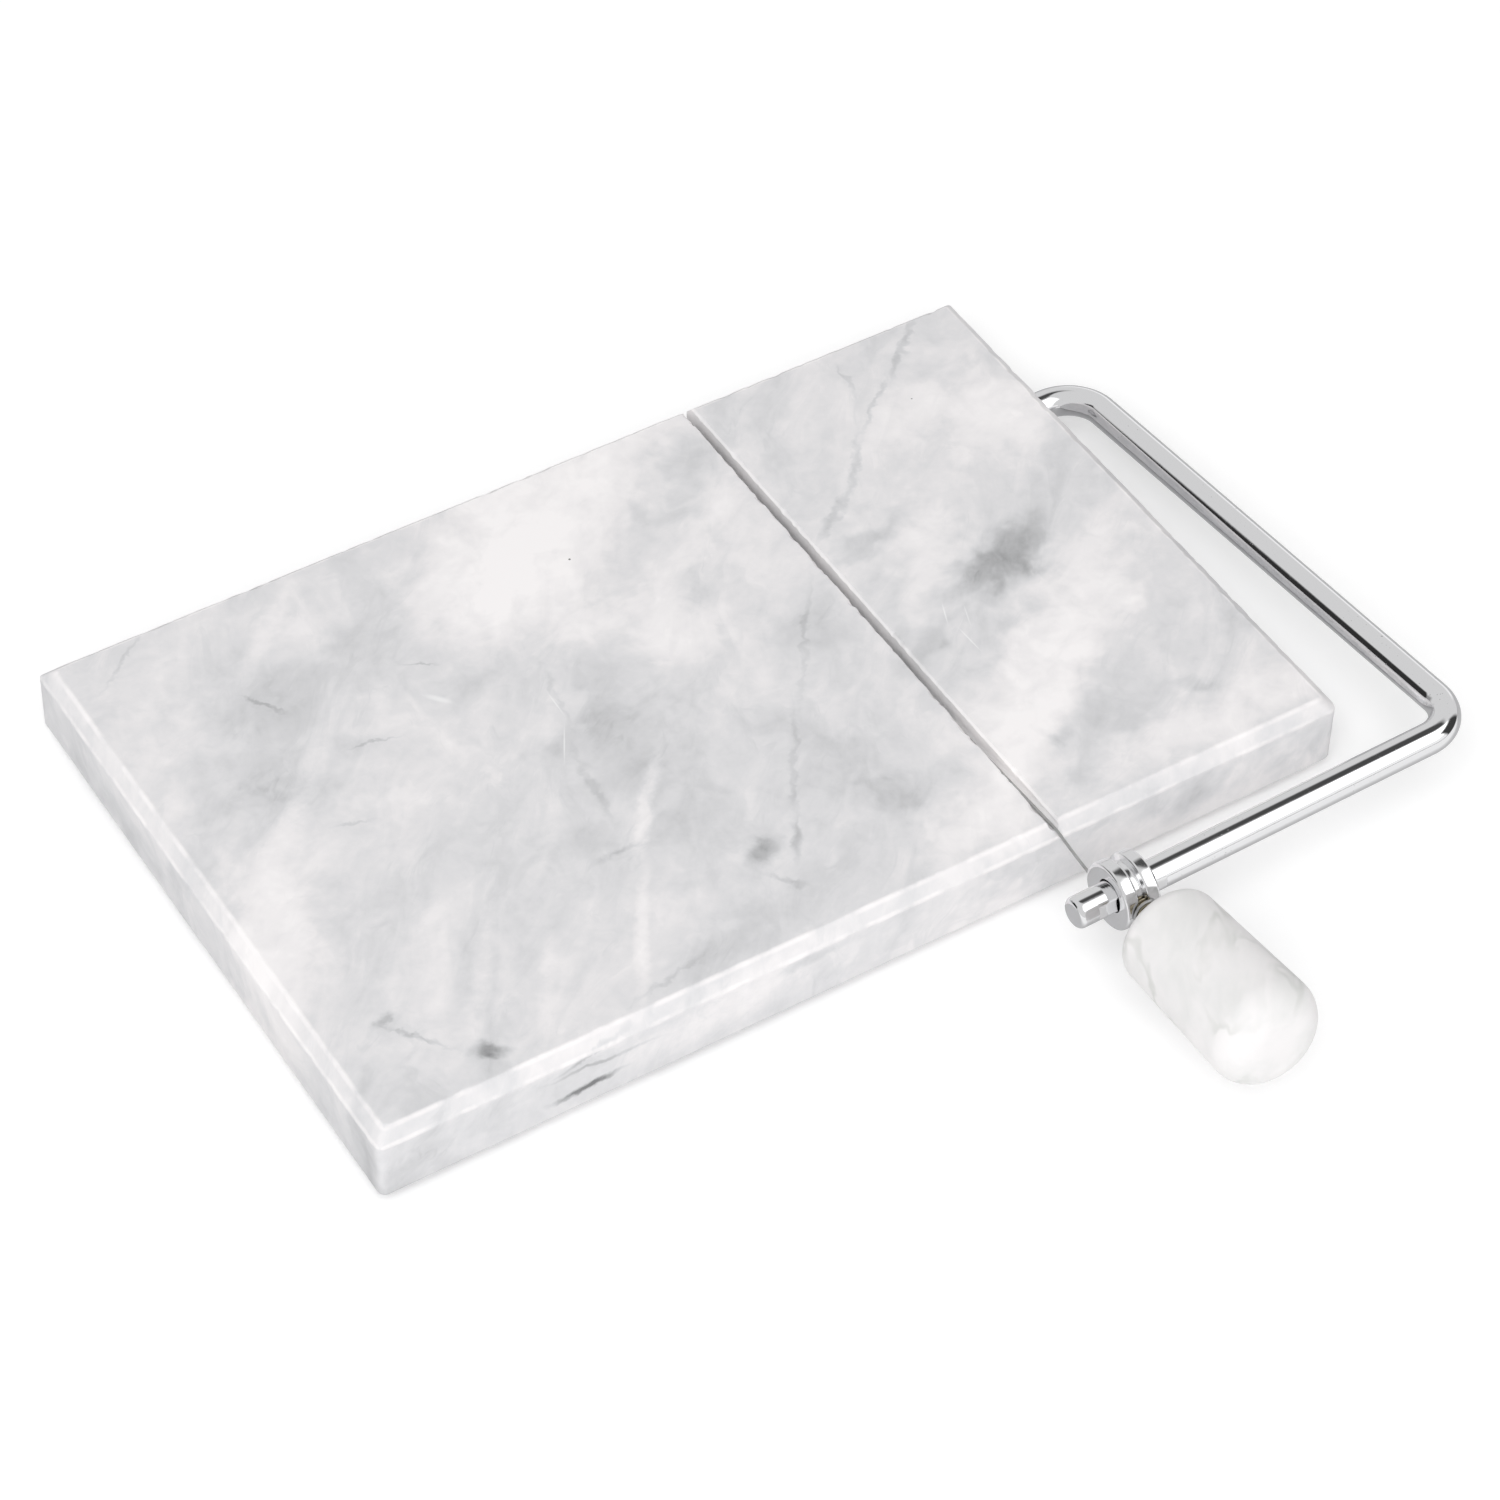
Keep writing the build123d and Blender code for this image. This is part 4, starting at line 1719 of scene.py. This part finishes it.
PANELS = (
    Panel(126, 42, 0.50, 0.42, 1.9),
    Panel(150, 8, 0.45, 0.14, 0.98, 0.10),
    Panel(150, 0.5, 0.60, 0.022, 0.25, 0.30),
    Panel(66, 56, 0.30, 0.17, 0.07, 0.35),
    Panel(108, 18, 0.34, 0.36, 0.05, 0.22),
    Panel(-40, 4, 0.22, 0.26, 0.30, 0.50),
    Panel(-64, 10, 0.30, 0.36, 0.03, 0.20),
    Panel(50, 2, 0.30, 0.22, 0.95),
)


def bearing(azimuth: float, elevation: float) -> Array:
    """Unit direction at an azimuth from -Y towards +X and an elevation, in degrees."""
    a, e = math.radians(azimuth), math.radians(elevation)
    return np.array([math.sin(a) * math.cos(e), -math.cos(a) * math.cos(e), math.sin(e)])


def stance(right: Array, up: Array, back: Array, place: Array) -> Matrix:
    """How a camera or a light stands.

    Args:
        right: direction of its X axis.
        up: direction of its Y axis.
        back: direction of its Z axis; it looks the other way.
        place: where it is.

    Returns:
        Its matrix.
    """
    rows = [[*row, p] for row, p in zip(np.stack([right, up, back], -1), place)]
    return Matrix([*rows, [0, 0, 0, 1]])


@dataclass
class Studio:
    """Pale floor, soft light and the camera."""

    layout: Layout
    azimuth: float = -32.44
    elevation: float = 46.68
    roll: float = 1.06
    distance: float = 889.4 * MM
    aside: Pair = (11.50 * MM, -1.89 * MM)
    lens: float = 115.4
    sensor_width: float = 36.0
    clip: Pair = (0.01, 20.0)
    floor_half: float = 2.5
    dome: float = 0.64
    walls: float = 0.72
    key: float = 34.0
    key_distance: float = 2.4
    key_size: float = 1.8
    key_azimuth: float = -38.0
    key_elevation: float = 50.0
    paper: Colour = (0.97, 0.97, 0.97)
    paper_glow: float = 0.10
    # Painted shade for reflections: bright metal sees the floor grey, and much darker near the
    # slab's front, in place of the floor's shadow there.
    mirrored_paper: Colour = (0.82, 0.82, 0.82)  # what bright metal sees of the floor
    mirrored_shade_near_slab: Colour = (0.42, 0.42, 0.425)

    def camera(self) -> None:
        """Sets the camera on a line from the middle of the slab's underside.

        Back points from that middle to the camera; right and up are turned by the roll, and
        the camera is moved aside in its own plane.
        """
        a, r = math.radians(self.azimuth), math.radians(self.roll)
        back = bearing(self.azimuth, self.elevation)
        level = np.array([math.cos(a), math.sin(a), 0.0])
        upright = np.cross(back, level)
        right = math.cos(r) * level + math.sin(r) * upright
        up = -math.sin(r) * level + math.cos(r) * upright
        target = self.layout.slab_centre * np.array([1, 1, 0]) + self.layout.slab_low * Z_AXIS
        place = target + right * self.aside[0] + up * self.aside[1] + back * self.distance
        data = bpy.data.cameras.new("camera")
        data.lens, data.sensor_width = self.lens, self.sensor_width
        data.clip_start, data.clip_end = self.clip
        camera = linked("camera", data)
        camera.matrix_world = stance(right, up, back, place)
        bpy.context.scene.camera = camera

    def floor(self) -> None:
        """A wide pale floor that takes a soft shadow."""
        half = self.floor_half
        mesh = bpy.data.meshes.new("floor")
        square = [(-half, -half, 0), (half, -half, 0), (half, half, 0), (-half, half, 0)]
        mesh.from_pydata(square, [], [(0, 1, 2, 3)])
        floor = linked("floor", mesh)
        paper = bpy.data.materials.new("floor_paper")
        write = NodeWriter(paper)
        path = write.node("ShaderNodeLightPath", {}, {})
        place = write.place(np.zeros(3))
        # Painted shade: in reflections the floor darkens towards the slab's front.
        near_slab = write.axes(place)[1].between(-82.0, -52.0)
        mirrored = write.blend(near_slab, self.mirrored_paper, self.mirrored_shade_near_slab)
        colour = write.blend(path.outputs["Is Glossy Ray"], self.paper, mirrored)
        inputs = {
            "Base Color": colour,
            "Roughness": 0.9,
            "Specular IOR Level": 0.0,
            "Emission Color": (1.0, 1.0, 1.0),
            "Emission Strength": self.paper_glow,
        }
        write.surface(inputs)
        mesh.materials.append(paper)

    def key_light(self) -> None:
        """One large soft light from the near left, above the camera."""
        way = bearing(self.key_azimuth, self.key_elevation)
        data = bpy.data.lights.new("key", "AREA")
        data.shape, data.size, data.energy = "SQUARE", self.key_size, self.key
        light = linked("key", data)
        side = unit(np.cross(Z_AXIS, way))
        place = way * self.key_distance
        light.matrix_world = stance(side, np.cross(way, side), way, place)
        light.visible_glossy = light.visible_camera = False

    def surroundings(self) -> None:
        """An even white dome for light; bright metal sees walls with panels instead."""
        world = bpy.data.worlds.new("studio")
        bpy.context.scene.world = world
        write = NodeWriter(world)
        way = write.node("ShaderNodeTexCoord", {}, {}).outputs["Generated"]
        room = write.signal("ShaderNodeValue", {}, {})
        room.socket.default_value = self.walls
        for panel in PANELS:
            mask = panel.mask(write, way)
            room = room * (1 - mask) + mask * panel.brightness
        path = write.node("ShaderNodeLightPath", {}, {})
        glossy = Signal(write, path.outputs["Is Glossy Ray"])
        seen = Signal(write, path.outputs["Is Camera Ray"])
        strength = glossy * room + (1 - glossy) * (seen * (1.02 - self.dome) + self.dome)
        inputs = {"Color": (1.0, 1.0, 1.0), "Strength": strength}
        background = write.node("ShaderNodeBackground", {}, inputs)
        write.node("ShaderNodeOutputWorld", {}, {"Surface": background.outputs[0]})

    def build(self) -> None:
        """Sets up the whole studio."""
        self.camera()
        self.floor()
        self.key_light()
        self.surroundings()
        view = bpy.context.scene.view_settings
        view.view_transform, view.look = "Standard", "None"


def main() -> None:
    """Builds the studio and every piece in order."""
    logging.basicConfig(level=logging.INFO, format="%(message)s")
    layout = Layout()
    Studio(layout).build()
    MarbleSlab(layout).build()
    for node in sorted(frame["nodes"]):
        if node.startswith("foot_"):
            RubberFoot(node).build()
    BentRod(layout).build()
    GroovedSpool(layout).build()
    CuttingWire(layout).build()
    ThreadedStud(layout).build()
    MarbleKnob(layout).build()


if __name__ == "__main__":
    main()
